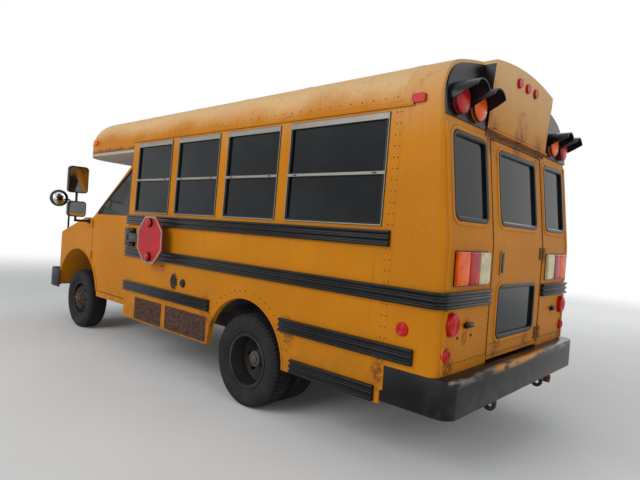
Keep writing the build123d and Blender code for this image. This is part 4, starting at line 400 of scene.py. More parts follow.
def make_finishes(colours):
    """The material of every slot."""
    paint, bleached, rust, rubber, seats = (
        tuple(getattr(colours, name)) for name in ("paint", "bleached", "rust", "rubber", "seats"))
    body_paint("body_yellow", paint, bleached, rust, 2.25, 2.95, marked=True)
    body_paint("roof_yellow", paint, bleached, rust, 2.48, 2.70, rusty_edge=2.245)
    body_paint("white_panel", linear(178, 166, 146), linear(190, 180, 164), rust, 2.2, 2.6)
    worn_black("black_trim", linear(9, 10, 13), linear(30, 31, 33), 0.10, 0.22, worn_edge=True)
    worn_black("chassis_black", linear(34, 33, 32), linear(78, 72, 64), 0.55, 0.68)
    worn_black("cast_grey", linear(70, 70, 70), linear(104, 96, 84), 0.6, 0.6)
    worn_black("wheel_black", linear(27, 27, 28), linear(66, 61, 55), 0.25, 0.55)
    bare_metal("silver_frame", linear(142, 138, 130), 0.40, 0.35, (160.0, 2.0, 160.0))
    bare_metal("mirror_face", linear(205, 210, 212), 0.05, 1.0, (2.0, 2.0, 2.0))
    window_glass("dark_glass", linear(11, 17, 21), 0.94, 0.08)
    window_glass("clear_glass", linear(26, 32, 32), 0.62, 0.10)
    lamp_lens("red_lens", linear(190, 22, 20), linear(150, 10, 14))
    lamp_lens("amber_lens", linear(240, 104, 16), linear(214, 76, 10))
    lamp_lens("clear_lens", linear(222, 212, 172), linear(190, 180, 140))
    rusty_steel("rusty_mesh", linear(50, 34, 27), linear(118, 80, 60))
    aged_tyre("tyre_rubber", rubber)
    moulded("sign_red", linear(176, 22, 26), 0.40, 420.0, 0.0003)
    moulded("floor_rubber", linear(58, 57, 55), 0.72, 60.0, 0.002)
    moulded("cab_plastic", linear(108, 104, 98), 0.58, 320.0, 0.0008)
    moulded("seat_vinyl", seats, 0.46, 260.0, 0.0010)


def finish(slot):
    """The material of a slot."""
    return bpy.data.materials[f"bus_{slot}"]


# Which finish each part of the frame wears
NODE_SLOTS = {
    "body_yellow": (
        "left_wall", "right_wall", "rear_wall", "cab_shell", "hood_panel", "driver_door", "rear_door",
        "entry_portal", "sign_panels"),
    "roof_yellow": ("roof_shell", "front_cap"),
    "white_panel": ("soffit_panel",),
    "black_trim": (
        "rub_rails", "rear_bumper", "front_bumper", "warning_pods", "stop_arm_base", "mirrors", "grille",
        "entry_leaf_front", "entry_leaf_rear", "window_frames"),
    "dark_glass": ("body_glass", "rear_door_glass"),
    "clear_glass": ("windscreen", "driver_door_glass", "entry_glass_front", "entry_glass_rear"),
    "mirror_face": ("mirror_glass",),
    "rusty_mesh": ("vent_grilles",),
    "sign_red": ("stop_sign",),
    "red_lens": ("lamps_red",),
    "amber_lens": ("lamps_amber",),
    "clear_lens": ("lamps_clear",),
    "chassis_black": (
        "chassis_frame", "driveline", "rear_springs", "front_suspension", "fuel_tank", "knuckle_left",
        "knuckle_right", "bench_frames"),
    "cast_grey": ("engine_block", "exhaust"),
    "wheel_black": ("rim_front_left", "rim_front_right", "rims_rear_left", "rims_rear_right"),
    "tyre_rubber": ("tyre_front_left", "tyre_front_right", "tyres_rear_left", "tyres_rear_right"),
    "floor_rubber": ("body_floor",),
    "cab_plastic": ("dashboard", "steering_wheel"),
    "seat_vinyl": ("bench_cushions", "driver_seat"),
}


class BUS_OT_finishes(bpy.types.Operator):
    """Make the materials and give each part of the frame its own"""
    bl_idname = "bus.finishes"
    bl_label = "Finishes"

    def execute(self, context):
        make_finishes(context.scene.bus_colours)
        for slot, names in NODE_SLOTS.items():
            for node in (NODES[name] for name in names):
                if not node.material_slots:
                    node.data.materials.append(None)
                for place in node.material_slots:
                    place.material = finish(slot)
        return {"FINISHED"}


# Stage and camera

def eye_matrix():
    """Place and turn of the photograph's camera."""
    yaw, pitch, roll = (radians(angle) for angle in (EYE_YAW, EYE_PITCH, EYE_ROLL))
    ahead = Vector((-sin(yaw) * cos(pitch), -cos(yaw) * cos(pitch), sin(pitch)))
    right = Vector((-cos(yaw), sin(yaw), 0))
    up = right.cross(ahead)
    side = right * cos(roll) + up * sin(roll)
    top = up * cos(roll) - right * sin(roll)
    return Matrix.Translation(EYE) @ Matrix((side, top, -ahead)).transposed().to_4x4()


def soft_light(name, place, target, size, power):
    """Large square lamp aimed at a point."""
    data = bpy.data.lights.new(name, "AREA")
    data.shape = "SQUARE"
    data.size = size
    data.energy = power
    aim = (Vector(target) - Vector(place)).to_track_quat("-Z", "Y").to_matrix().to_4x4()
    added(name, data).matrix_world = Matrix.Translation(place) @ aim


def studio_world():
    """Soft light from all round, which camera, glass and gloss see as white."""
    world = bpy.data.worlds.new("studio")
    world.use_nodes = True
    w = Nodes(world.node_tree)
    rays = w.node("ShaderNodeLightPath").outputs
    camera, through, gloss = (
        Number(w, rays[f"Is {kind} Ray"]) for kind in ("Camera", "Transmission", "Glossy"))
    fill = w.node("ShaderNodeBackground", None, {"Color": (0.93, 0.96, 1.0), "Strength": 0.38})
    white = w.node("ShaderNodeBackground", None, {"Color": (1.0, 1.0, 1.0), "Strength": 1.0})
    both = w.node("ShaderNodeMixShader", None, {
        0: camera.greater(through).greater(gloss), 1: fill.outputs[0], 2: white.outputs[0]})
    w.node("ShaderNodeOutputWorld", None, {"Surface": both.outputs[0]})
    return world


class BUS_OT_stage(bpy.types.Operator):
    """Set up the floor, the light and the camera"""
    bl_idname = "bus.stage"
    bl_label = "Stage"

    def execute(self, context):
        scene = context.scene
        scene.view_settings.view_transform = "Standard"
        scene.world = studio_world()
        f = Finish("studio_floor")
        reach = f.node("ShaderNodeVectorMath", {"operation": "LENGTH"}, {0: f.spot}).outputs["Value"]
        f.show(f.mix(f.step(f.noise(0.8, 3.0), 0.2, 0.8), (0.80, 0.80, 0.79), (0.86, 0.86, 0.85)), 0.9,
               Alpha=f.step(Number(f, reach), 15.0, 6.0))
        mesh = bpy.data.meshes.new("floor")
        mesh.from_pydata([(-60, -60, 0), (60, -60, 0), (60, 60, 0), (-60, 60, 0)], [], [(0, 1, 2, 3)])
        mesh.materials.append(f.material)
        added("floor", mesh)
        soft_light("key", (10.0, -0.5, 6.0), (0, 0, 1.2), 7.0, 540)
        soft_light("fill", (3.0, 10.5, 4.0), (0, 1.0, 1.4), 6.0, 190)
        soft_light("far", (-9.0, 1.0, 6.0), (0, 0, 1.2), 6.0, 240)
        data = bpy.data.cameras.new("photo_camera")
        data.sensor_width = 36.0
        data.lens = EYE_LENS_MM
        scene.camera = added("photo_camera", data)
        scene.camera.matrix_world = eye_matrix()
        return {"FINISHED"}


# Mesh tools

class Skin:
    """Some panels of the bus as one surface that points can be laid on."""

    def __init__(self, *names):
        points = []
        faces = []
        for name in names:
            mesh = NODES[name].data
            start = len(points)
            points += [v.co.copy() for v in mesh.vertices]
            faces += [[start + i for i in p.vertices] for p in mesh.polygons]
        self.tree = BVHTree.FromPolygons(points, faces)

    def under(self, point, towards):
        """Place and outward normal of the surface met from a point."""
        place, normal, _, _ = self.tree.ray_cast(Vector(point), Vector(towards))
        if place is None:
            raise RuntimeError(f"no panel is met from {tuple(point)}")
        return place, normal if normal.dot(Vector(towards)) < 0 else -normal

    def trace(self, points, towards, step=0.1):
        """Path on the surface under straight runs of points, as (place, normal) pairs."""
        path = []
        corners = [Vector(p) for p in points]
        for first, last in zip(corners, corners[1:]):
            count = max(1, round((last - first).length / step))
            for k in range(count + (last == corners[-1])):
                path.append(self.under(first.lerp(last, k / count), towards))
        return path


def side_path(skin, sign, points, step=0.1):
    """Path on one side of the body through (y, z) points."""
    return skin.trace([(sign * SIDE_CLEAR, y, z) for y, z in points], (-sign, 0, 0), step)


def rear_path(skin, points, step=0.1):
    """Path on the rear through (x, z) points."""
    return skin.trace([(x, REAR_CLEAR, z) for x, z in points], (0, -1, 0), step)


def roof_path(skin, y, start=26.0, end=154.0, step=3.2):
    """Path over the roof at one y, from one eave to the other."""
    path = []
    count = round((end - start) / step)
    for k in range(count + 1):
        angle = radians(start + (end - start) * k / count)
        out = Vector((cos(angle), 0, sin(angle)))
        path.append(skin.under(Vector((0, y, ROOF_CENTRE_Z)) + out * ROOF_CLEAR, -out))
    return path


def rounded_corners(x0, x1, z0, z1, radius, steps=6):
    """Closed rounded rectangle as (x, z) points."""
    points = []
    for cx, cz, start in ((x1, z1, 0), (x0, z1, 90), (x0, z0, 180), (x1, z0, 270)):
        cx += radius if cx == x0 else -radius
        cz += radius if cz == z0 else -radius
        for k in range(steps + 1):
            angle = radians(start + 90 * k / steps)
            points.append((cx + radius * cos(angle), cz + radius * sin(angle)))
    return points


def sweep(bm, path, profile, closed=False):
    """Closed profile of (sideways, outward) points carried along (place, normal) pairs."""
    rings = []
    count = len(path)
    for i, (place, normal) in enumerate(path):
        before = path[i - 1][0] if (i or closed) else place
        after = path[(i + 1) % count][0] if (i + 1 < count or closed) else place
        along = (after - before).normalized()
        side = along.cross(normal).normalized()
        out = side.cross(along).normalized()
        rings.append([bm.verts.new(place + side * a + out * b) for a, b in profile])
    size = len(profile)
    for i in range(count if closed else count - 1):
        one = rings[i]
        two = rings[(i + 1) % count]
        for j in range(size):
            bm.faces.new((one[j], two[j], two[(j + 1) % size], one[(j + 1) % size]))
    if not closed:
        bm.faces.new(rings[0])
        bm.faces.new(list(reversed(rings[-1])))


def disc_profile(radius, steps=10, flatten=1.0, lift=0.0):
    """Round or flattened profile for a sweep."""
    angles = (2 * pi * k / steps for k in range(steps))
    return [(radius * cos(angle), lift + flatten * radius * sin(angle)) for angle in angles]


def band_profile(width, height, chamfer=0.001, sunk=0.002):
    """Flat raised band with eased edges."""
    half = width / 2
    return [
        (-half, -sunk), (-half, height - chamfer), (-half + chamfer, height),
        (half - chamfer, height), (half, height - chamfer), (half, -sunk),
    ]


def guide_for(along):
    """An axis well off a direction."""
    return Z if abs(along.z) < 0.9 else Y


def tube(bm, points, radius, sides=12):
    """Round bar through points."""
    spots = [Vector(p) for p in points]
    along = (spots[1] - spots[0]).normalized()
    guide = guide_for(along)
    path = []
    for i, spot in enumerate(spots):
        ahead = (spots[min(i + 1, len(spots) - 1)] - spots[max(i - 1, 0)]).normalized()
        path.append((spot, (guide - ahead * guide.dot(ahead)).normalized()))
    sweep(bm, path, disc_profile(radius, sides))


def lathe(bm, profile, origin, axis, segments=32, turn=0.0):
    """Surface of (radius, height) points turned about an axis from an origin."""
    out = Vector(axis).normalized()
    guide = guide_for(out)
    side = guide.cross(out).normalized()
    up = out.cross(side)
    origin = Vector(origin)
    rings = []
    for radius, height in profile:
        if radius < 1e-6:
            rings.append([bm.verts.new(origin + out * height)])
            continue
        ring = []
        for k in range(segments):
            angle = 2 * pi * k / segments + turn
            ring.append(bm.verts.new(
                origin + out * height + side * (radius * cos(angle)) + up * (radius * sin(angle))))
        rings.append(ring)
    for one, two in zip(rings, rings[1:]):
        for k in range(segments):
            n = (k + 1) % segments
            corners = [one[k % len(one)], one[n % len(one)], two[n % len(two)], two[k % len(two)]]
            kept = [v for i, v in enumerate(corners) if v not in corners[:i]]
            if len(kept) > 2:
                bm.faces.new(kept)


def rounded_block(bm, low, high, radius, segments=3):
    """Block between two corners with all its edges rounded."""
    low = Vector(low)
    high = Vector(high)
    made = bmesh.ops.create_cube(bm, size=1.0)["verts"]
    for v in made:
        v.co = (low + high) / 2 + v.co * (high - low)
    edges = list(dict.fromkeys(e for v in made for e in v.link_edges))
    bmesh.ops.bevel(bm, geom=edges, offset=radius, segments=segments, profile=0.5, affect="EDGES")


def band(bm, one, two):
    """Faces between two closed rows of points."""
    count = len(one)
    for k in range(count):
        n = (k + 1) % count
        bm.faces.new((one[k], one[n], two[n], two[k]))


def plate(bm, outline, normal, thickness, at):
    """Flat plate of a closed outline of 3-D points, with thickness along its normal."""
    out = Vector(normal)
    low = [bm.verts.new(Vector(p) + out * at) for p in outline]
    high = [bm.verts.new(Vector(p) + out * (at + thickness)) for p in outline]
    bm.faces.new(list(reversed(low)))
    bm.faces.new(high)
    band(bm, low, high)


def rounded_plate(bm, x0, x1, z0, z1, radius, y0, y1, steps=5):
    """Rounded rectangle in X and Z with thickness along Y."""
    outline = [(x, y0, z) for x, z in rounded_corners(x0, x1, z0, z1, radius, steps)]
    plate(bm, outline, Y, y1 - y0, 0)


def bm_mesh(bm):
    """Plain mesh of a bmesh, with its doubles merged and its normals outwards."""
    bmesh.ops.remove_doubles(bm, verts=bm.verts, dist=1e-6)
    bmesh.ops.recalc_face_normals(bm, faces=bm.faces)
    mesh = bpy.data.meshes.new("part")
    bm.to_mesh(mesh)
    bm.free()
    return mesh


def joined(*meshes):
    """One mesh of several."""
    bm = bmesh.new()
    for mesh in meshes:
        bm.from_mesh(mesh)
    merged = bpy.data.meshes.new("joined")
    bm.to_mesh(merged)
    bm.free()
    return merged


def shown_mesh(thing):
    """Copy of an object's mesh with its modifiers applied."""
    return bpy.data.meshes.new_from_object(thing.evaluated_get(bpy.context.evaluated_depsgraph_get()))


def last_mesh(thing):
    """An object's mesh with its modifiers applied; the object goes."""
    mesh = shown_mesh(thing)
    bpy.data.objects.remove(thing)
    return mesh


def dressed(name, mesh, slot, body, smooth=35.0):
    """Object of a plain mesh, shaded, finished and riding on its body."""
    mesh.name = name
    mesh.materials.clear()
    mesh.materials.append(finish(slot))
    mesh.shade_smooth()
    if smooth < 180:
        mesh.set_sharp_from_angle(angle=radians(smooth))
    thing = added(name, mesh)
    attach(thing, body)
    return thing


def piece(name, bm, slot, body, smooth=35.0):
    """Finished object of a bmesh that rides on a body and takes a slot's finish."""
    return dressed(name, bm_mesh(bm), slot, body, smooth)


# Geometry Nodes trees

class Tree(Nodes):
    """A Geometry Nodes tree with named inputs."""

    def __init__(self, name, **inputs):
        super().__init__(bpy.data.node_groups.new(name, "GeometryNodeTree"))
        face = self.tree.interface
        face.new_socket("Geometry", in_out="INPUT", socket_type="NodeSocketGeometry")
        self.names = {
            label: face.new_socket(label, in_out="INPUT", socket_type=f"NodeSocket{kind}").identifier
            for label, kind in inputs.items()}
        face.new_socket("Geometry", in_out="OUTPUT", socket_type="NodeSocketGeometry")
        self.start = self.node("NodeGroupInput")
        self.end = self.node("NodeGroupOutput")

    def taken(self, label):
        return self.start.outputs[label]

    def finish(self, geometry):
        """Ends the tree in real geometry with its material."""
        real = self.node("GeometryNodeRealizeInstances", None, {0: geometry})
        coated = self.node("GeometryNodeSetMaterial", None, {
            "Geometry": real.outputs[0], "Material": self.taken("Material")})
        self.put(self.end.inputs[0], coated.outputs[0])
        return self

    def run(self, mesh, **values):
        """Plain mesh that the tree makes of a mesh with these inputs."""
        thing = added("made", mesh)
        modifier = thing.modifiers.new("tree", "NODES")
        modifier.node_group = self.tree
        for label, value in values.items():
            modifier[self.names[label]] = value
        return last_mesh(thing)


@cache
def rivet_tree():
    """Domed heads at a pitch along every edge, standing along its outward attribute."""
    t = Tree("Rivet rows", Pitch="Float", Radius="Float", Height="Float", Material="Material")
    line = t.node("GeometryNodeMeshToCurve", None, {0: t.taken("Geometry")})
    spots = t.node("GeometryNodeResampleCurve", {"mode": "LENGTH"}, {
        "Curve": line.outputs[0], "Length": t.taken("Pitch")})
    ball = t.node("GeometryNodeMeshUVSphere", None, {"Segments": 8, "Rings": 6, "Radius": 1.0})
    size = t.node("ShaderNodeCombineXYZ", None, {
        0: t.taken("Radius"), 1: t.taken("Radius"), 2: t.taken("Height")})
    head = t.node("GeometryNodeTransform", None, {"Geometry": ball.outputs[0], "Scale": size.outputs[0]})
    out = t.node("GeometryNodeInputNamedAttribute", {"data_type": "FLOAT_VECTOR"}, {"Name": "outward"})
    turn = t.node("FunctionNodeAlignRotationToVector", {"axis": "Z"}, {"Vector": out.outputs[0]})
    heads = t.node("GeometryNodeInstanceOnPoints", None, {
        "Points": spots.outputs[0], "Instance": head.outputs[0], "Rotation": turn.outputs[0]})
    return t.finish(heads.outputs[0])


@cache
def ring_tree():
    """The mesh repeated round the X axis."""
    t = Tree("Ring of pieces", Count="Int", Material="Material")
    spots = t.node("GeometryNodeMeshLine", None, {"Count": t.taken("Count"), "Offset": (0, 0, 0)})
    number = t.node("GeometryNodeInputIndex")
    share = t.node("ShaderNodeMath", {"operation": "DIVIDE"}, {0: number.outputs[0], 1: t.taken("Count")})
    angle = t.node("ShaderNodeMath", {"operation": "MULTIPLY"}, {0: share.outputs[0], 1: 2 * pi})
    turn = t.node("ShaderNodeCombineXYZ", None, {0: angle.outputs[0]})
    spin = t.node("FunctionNodeEulerToRotation", None, {0: turn.outputs[0]})
    made = t.node("GeometryNodeInstanceOnPoints", None, {
        "Points": spots.outputs[0], "Instance": t.taken("Geometry"), "Rotation": spin.outputs[0]})
    return t.finish(made.outputs[0])


def path_mesh(paths):
    """Edges along paths, with the outward direction kept on their points."""
    points = []
    edges = []
    outward = []
    for path in paths:
        start = len(points)
        points += [place for place, _ in path]
        outward += [normal for _, normal in path]
        edges += [(start + k, start + k + 1) for k in range(len(path) - 1)]
    mesh = bpy.data.meshes.new("paths")
    mesh.from_pydata(points, edges, [])
    layer = mesh.attributes.new("outward", "FLOAT_VECTOR", "POINT")
    for item, value in zip(layer.data, outward):
        item.vector = value
    return mesh


# Height of a rivet's head in shares of its radius
RIVET_DOME = 0.55


def rivets(name, paths, slot, body, pitch=None, radius=None):
    """Rows of rivet heads along paths on the panels."""
    sizes = bpy.context.scene.bus_sizes
    radius = radius or sizes.rivet_radius
    mesh = rivet_tree().run(
        path_mesh(paths), Pitch=pitch or sizes.rivet_pitch, Radius=radius, Height=radius * RIVET_DOME,
        Material=finish(slot))
    dressed(name, mesh, slot, body, 180)


# Rivets and seams

# Middle of the rear wheel arches, and the radius of the rivets round them
ARCH_Y = 1.280
ARCH_Z = 0.400
ARCH_RIVETS_R = 0.535


def make_rivets(skin):
    """Rivet rows along the pillars and edges, and the rusty rows at the rear seam and round the arches."""
    rows = []
    rusty = []
    for sign in SIDES:
        for y, foot, into in (
                (-0.688, 0.50, rows), (-0.660, 0.50, rows), (2.607, 0.50, rusty), (2.638, 0.67, rusty)):
            for low, high in ((foot, 0.685), (0.82, 1.03), (1.17, 1.37), (1.52, 2.22)):
                into.append(side_path(skin, sign, ((y, low), (y, high)), CLOSE))
        for one, two in zip(WINDOW_SPANS, WINDOW_SPANS[1:]):
            for y in (one[1] + 0.034, two[0] - 0.034):
                rows.append(side_path(skin, sign, ((y, 1.53), (y, 2.22)), CLOSE))
        rows.append(side_path(skin, sign, ((-0.640, 0.668), (0.740, 0.668))))
        rows.append(side_path(skin, sign, ((1.86, 0.665), (2.58, 0.665))))
        angles = [radians(18 + 12 * k) for k in range(13)]
        arch = [(ARCH_Y + ARCH_RIVETS_R * cos(a), ARCH_Z + ARCH_RIVETS_R * sin(a)) for a in angles]
        rusty += [side_path(skin, sign, part, CLOSE) for part in (arch[:6], arch[6:])]
    return rows, rusty


def make_roof_rivets(skin):
    """Rivet rows over the roof at its bows and along its lowest sheet edge."""
    rows = []
    for y in ROOF_BOWS:
        for offset in (-0.020, 0.020):
            rows.append(roof_path(skin, y + offset))
    rusty = []
    for sign in SIDES:
        rusty.append(side_path(skin, sign, ((-0.70, 2.315), (2.60, 2.315))))
        rusty.append(side_path(skin, sign, ((-1.50, 2.212), (-0.74, 2.212)), 0.03))
    return rows, rusty


class BUS_OT_rivets(bpy.types.Operator):
    """Lay the rivet rows on the body and the roof"""
    bl_idname = "bus.rivets"
    bl_label = "Rivets"

    def execute(self, context):
        skin = Skin(*BODY_PANELS)
        clean, rusty = make_rivets(skin)
        rivets("side_rivets", clean, "body_yellow", "root")
        rivets("rusty_rivets", rusty, "rusty_mesh", "root", 0.064, 0.0070)
        clean, rusty = make_roof_rivets(skin)
        rivets("roof_rivets", clean, "roof_yellow", "root")
        rivets("eave_rivets", rusty, "rusty_mesh", "root", 0.092, 0.0055)
        foot = [rear_path(skin, ((x, 0.716), (x + 0.53, 0.716)), CLOSE) for x in (-1.04, 0.51)]
        rivets("rear_foot_rivets", foot, "rusty_mesh", "root", 0.042, 0.0068)
        beside, rear = (
            [rear_path(skin, ((sign * x, low), (sign * x, high)), CLOSE)
             for sign in SIDES for low, high in ((0.72, 1.03), (1.17, 2.12))]
            for x in (0.492, 1.060))
        rivets("rear_rivets", rear, "body_yellow", "root", 0.045, 0.0046)
        rivets("door_side_rivets", beside, "rusty_mesh", "root", 0.038, 0.0040)
        door = Skin("rear_door")
        feet = [rear_path(door, ((-0.44, z), (0.44, z)), CLOSE) for z in (0.700, 0.775)]
        rivets("door_foot_rivets", feet, "rusty_mesh", "exit_door", 0.034, 0.0062)
        rows = [rear_path(door, ((x, 0.80), (x, 2.12)), CLOSE) for x in (-0.437, 0.437)]
        rivets("rear_door_rivets", rows, "body_yellow", "exit_door", 0.042, 0.0044)
        return {"FINISHED"}


# The lapped sheet edge on the sides and the posts at the rear corners
SEAM_Y = 2.6225
CORNER_X = 1.062


class BUS_OT_seams(bpy.types.Operator):
    """Lay the lapped sheet edges, the roof bows, the corner posts and the drip rails"""
    bl_idname = "bus.seams"
    bl_label = "Seams and drip rails"

    def execute(self, context):
        skin = Skin(*BODY_PANELS)
        bm = bmesh.new()
        for sign in SIDES:
            for z0, z1 in ((0.50, 0.690), (0.80, 1.045), (1.155, 1.385), (1.492, 2.245)):
                path = side_path(skin, sign, ((SEAM_Y, z0), (SEAM_Y, z1)), CLOSE)
                sweep(bm, path, band_profile(0.056, 0.0022))
            x = sign * CORNER_X
            for z0, z1 in ((0.665, 1.04), (1.16, 2.15)):
                sweep(bm, rear_path(skin, ((x, z0), (x, z1)), CLOSE), band_profile(0.034, 0.008, 0.004))
        piece("side_seams", bm, "body_yellow", "root")
        bm = bmesh.new()
        for y in ROOF_BOWS:
            sweep(bm, roof_path(skin, y), band_profile(0.062, 0.0024))
        piece("roof_bows", bm, "roof_yellow", "root")
        gutter = [
            (-0.012, -0.003), (-0.012, 0.004), (-0.006, 0.017), (0.002, 0.020), (0.010, 0.019),
            (0.010, 0.014), (0.001, 0.014), (-0.004, 0.008), (0.008, 0.003), (0.008, -0.003),
        ]
        bm = bmesh.new()
        for sign in SIDES:
            path = side_path(skin, sign, ((-0.705, 2.262), (2.726, 2.262)), 0.2)
            if sign > 0:
                path.reverse()
            sweep(bm, path, gutter)
        piece("drip_rails", bm, "roof_yellow", "root")
        return {"FINISHED"}


# x of a bare strip of the rear wall beside the door
BESIDE_DOOR_X = 0.504


class RearFace:
    """The rear wall's plane, read off the frame beside the door."""

    def __init__(self):
        skin = Skin("rear_wall")
        self.low, self.high, foot = (
            skin.under((BESIDE_DOOR_X, REAR_CLEAR, z), -Y)[0] for z in (1.55, 2.10, 1.20))
        self.foot = foot.y
        self.lean = (self.low.y - self.high.y) / (self.high.z - self.low.z)

    def y(self, z):
        return min(self.foot, self.low.y - self.lean * (z - self.low.z))

    def normal(self, z):
        return Vector((0, 1, self.lean)).normalized() if z > self.low.z - 0.05 else Y

    def outline(self, x0, x1, z0, z1, radius, grow=0.0):
        """Closed rounded path on the rear wall, as (place, normal) pairs."""
        middle = (z0 + z1) / 2
        return [
            (Vector((x, self.y(z), z)), self.normal(middle))
            for x, z in rounded_corners(x0 - grow, x1 + grow, z0 - grow, z1 + grow, radius + grow)
        ]


class BUS_OT_window_seals(bpy.types.Operator):
    """Press the lips round the rear windows and fit their rubber seals"""
    bl_idname = "bus.window_seals"
    bl_label = "Window seals"

    def execute(self, context):
        face = RearFace()
        radius = context.scene.bus_sizes.seal_radius
        lip = [
            (-0.016, -0.002), (-0.016, 0.002), (-0.010, 0.007), (0.004, 0.008), (0.012, 0.004),
            (0.014, -0.002)]
        rubber = [
            (-radius, -0.0125), (-radius, 0.002), (-radius * 0.5, 0.009), (radius * 0.5, 0.009),
            (radius, 0.003), (radius, -0.0125)]
        for body, tag in (("root", "body"), ("exit_door", "exit_door")):
            lips = bmesh.new()
            seals = bmesh.new()
            for rides, outline in REAR_PANES:
                if rides == body:
                    sweep(lips, face.outline(*outline, PANE_CORNER_R, 0.028), lip, closed=True)
                    sweep(seals, face.outline(*outline, PANE_CORNER_R, 0.001), rubber, closed=True)
            piece(f"{tag}_window_lips", lips, "body_yellow", body)
            piece(f"{tag}_window_seals", seals, "black_trim", body)
        return {"FINISHED"}


# Wheels

# Tyres: greatest radius, the tread's edge and its drop there, and the shoulder beyond it
TYRE_R = 0.372
TREAD_EDGE = 0.0835
CROWN_DROP = 0.0030
SHOULDER_DROP = 0.011
SHOULDER_X = 0.1045
SHOULDER_R = 0.343

# Rows of tread blocks: x from and to, and their shift round the tyre in pitches
TREAD_ROWS = (
    (-0.0965, -0.0590, 0.0), (-0.0520, -0.0215, 0.35), (-0.0145, 0.0145, 0.7), (0.0215, 0.0520, 0.35),
    (0.0590, 0.0965, 0.0),
)


def tread_radius(x):
    """Outer radius of the tread at a distance from its middle."""
    return TYRE_R - CROWN_DROP * (x / TREAD_EDGE) ** 2


def tyre_carcass(bm, x, y, groove):
    """Tyre without its tread blocks, turned about its axle."""
    side = [
        (0.2035, 0.0700), (0.2035, 0.0820), (0.2195, 0.0820), (0.2240, 0.0875), (0.2320, 0.0935),
        (0.2360, 0.0978), (0.2410, 0.0984), (0.2610, 0.1052), (0.2640, 0.1078), (0.2750, 0.1096),
        (0.2880, 0.1110), (0.3000, 0.1108), (0.3130, 0.1094), (0.3170, 0.1104), (0.3210, 0.1100),
        (0.3240, 0.1082), (0.3400, 0.1030), (0.3520, 0.0960), (TYRE_R - groove, 0.0880),
    ]
    crown = [(tread_radius(u) - groove, u) for u in (0.0700, 0.0350, 0.0, -0.0350, -0.0700)]
    profile = side + crown + [(radius, -u) for radius, u in reversed(side)]
    profile.append(profile[0])
    lathe(bm, profile, (x, y, AXLE_Z), X, 96)


def round_axle(x, angle, radius):
    """Point at an angle from straight up round the X axis."""
    return (x, radius * sin(angle), radius * cos(angle))


def tread_blocks(bm, pitches, groove):
    """The blocks of one pitch, above the axle's middle."""
    pitch = 2 * pi / pitches
    for x0, x1, shift in TREAD_ROWS:
        outside = abs(x0 + x1) > 0.1
        share = 0.36 if outside else 0.42
        corners = []
        for x in (x0, x1):
            top = tread_radius(TREAD_EDGE) - SHOULDER_DROP if abs(x) > 0.09 else tread_radius(x)
            slant = 0.10 * pitch * copysign(1, x0 + x1) if x == x1 else 0
            for turn in (-share, share):
                angle = (shift + turn) * pitch + slant
                for radius in (top - groove - 0.003, top):
                    corners.append(bm.verts.new(round_axle(x, angle, radius)))
        a, b, c, d, e, f, g, h = corners
        for face in ((b, d, h, f), (a, b, f, e), (c, g, h, d), (a, c, d, b), (e, f, h, g), (a, e, g, c)):
            bm.faces.new(face)
        if outside:
            x_edge = x1 if x1 > 0 else x0
            x_in = copysign(TREAD_EDGE, x_edge)
            top = tread_radius(TREAD_EDGE)
            shoulder = (
                (x_in, top), (x_edge, top - SHOULDER_DROP), (copysign(SHOULDER_X, x_edge), SHOULDER_R),
                (x_in, SHOULDER_R))
            one, two = (
                [bm.verts.new(round_axle(x, turn * pitch, radius)) for x, radius in shoulder]
                for turn in (-share, share))
            band(bm, one, two)
            bm.faces.new(one)
            bm.faces.new(list(reversed(two)))


def placed(mesh, x, y):
    """A mesh made round the origin, moved to an axle's end."""
    mesh.transform(Matrix.Translation((x, y, AXLE_Z)))
    return mesh


def turned_over(mesh):
    """The same mesh on the other side of the bus."""
    mesh.transform(Matrix.Scale(-1, 4, (1, 0, 0)))
    mesh.flip_normals()
    return mesh


class BUS_OT_tyres(bpy.types.Operator):
    """Make the treaded tyres"""
    bl_idname = "bus.tyres"
    bl_label = "Tyres"

    def execute(self, context):
        sizes = context.scene.bus_sizes
        rubber = finish("tyre_rubber")
        for place, (sign, y, middles, body) in WHEELS.items():
            meshes = []
            for x in middles:
                bm = bmesh.new()
                tyre_carcass(bm, sign * x, y, sizes.tread_depth)
                meshes.append(bm_mesh(bm))
                bm = bmesh.new()
                tread_blocks(bm, sizes.tread_pitches, sizes.tread_depth)
                ring = ring_tree().run(bm_mesh(bm), Count=sizes.tread_pitches, Material=rubber)
                meshes.append(placed(ring, sign * x, y))
            made = dressed(f"tyres_{place}", joined(*meshes), "tyre_rubber", body, 28)
            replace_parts(made, f"tyre_{place}" if len(middles) == 1 else f"tyres_{place}")
        return {"FINISHED"}


def hex_nut(bm, x, spot, radius, height):
    """Nut on its stud with a washer, facing +X."""
    washer = radius * 1.25
    stud = radius * 0.5
    for sides, profile in (
            (12, [(0, 0), (washer, 0), (washer, 0.002), (0, 0.002)]),
            (6, [(0, 0.001), (radius, 0.001), (radius, height * 0.85), (radius * 0.82, height), (0, height)]),
            (8, [(0, height - 0.001), (stud, height - 0.001), (stud, height * 1.45),
                 (stud * 0.7, height * 1.6), (0, height * 1.6)])):
        lathe(bm, profile, (x, 0, spot), X, sides)


# How far a rim's rolled edge is from the wheel's middle
RIM_EDGE = 0.089


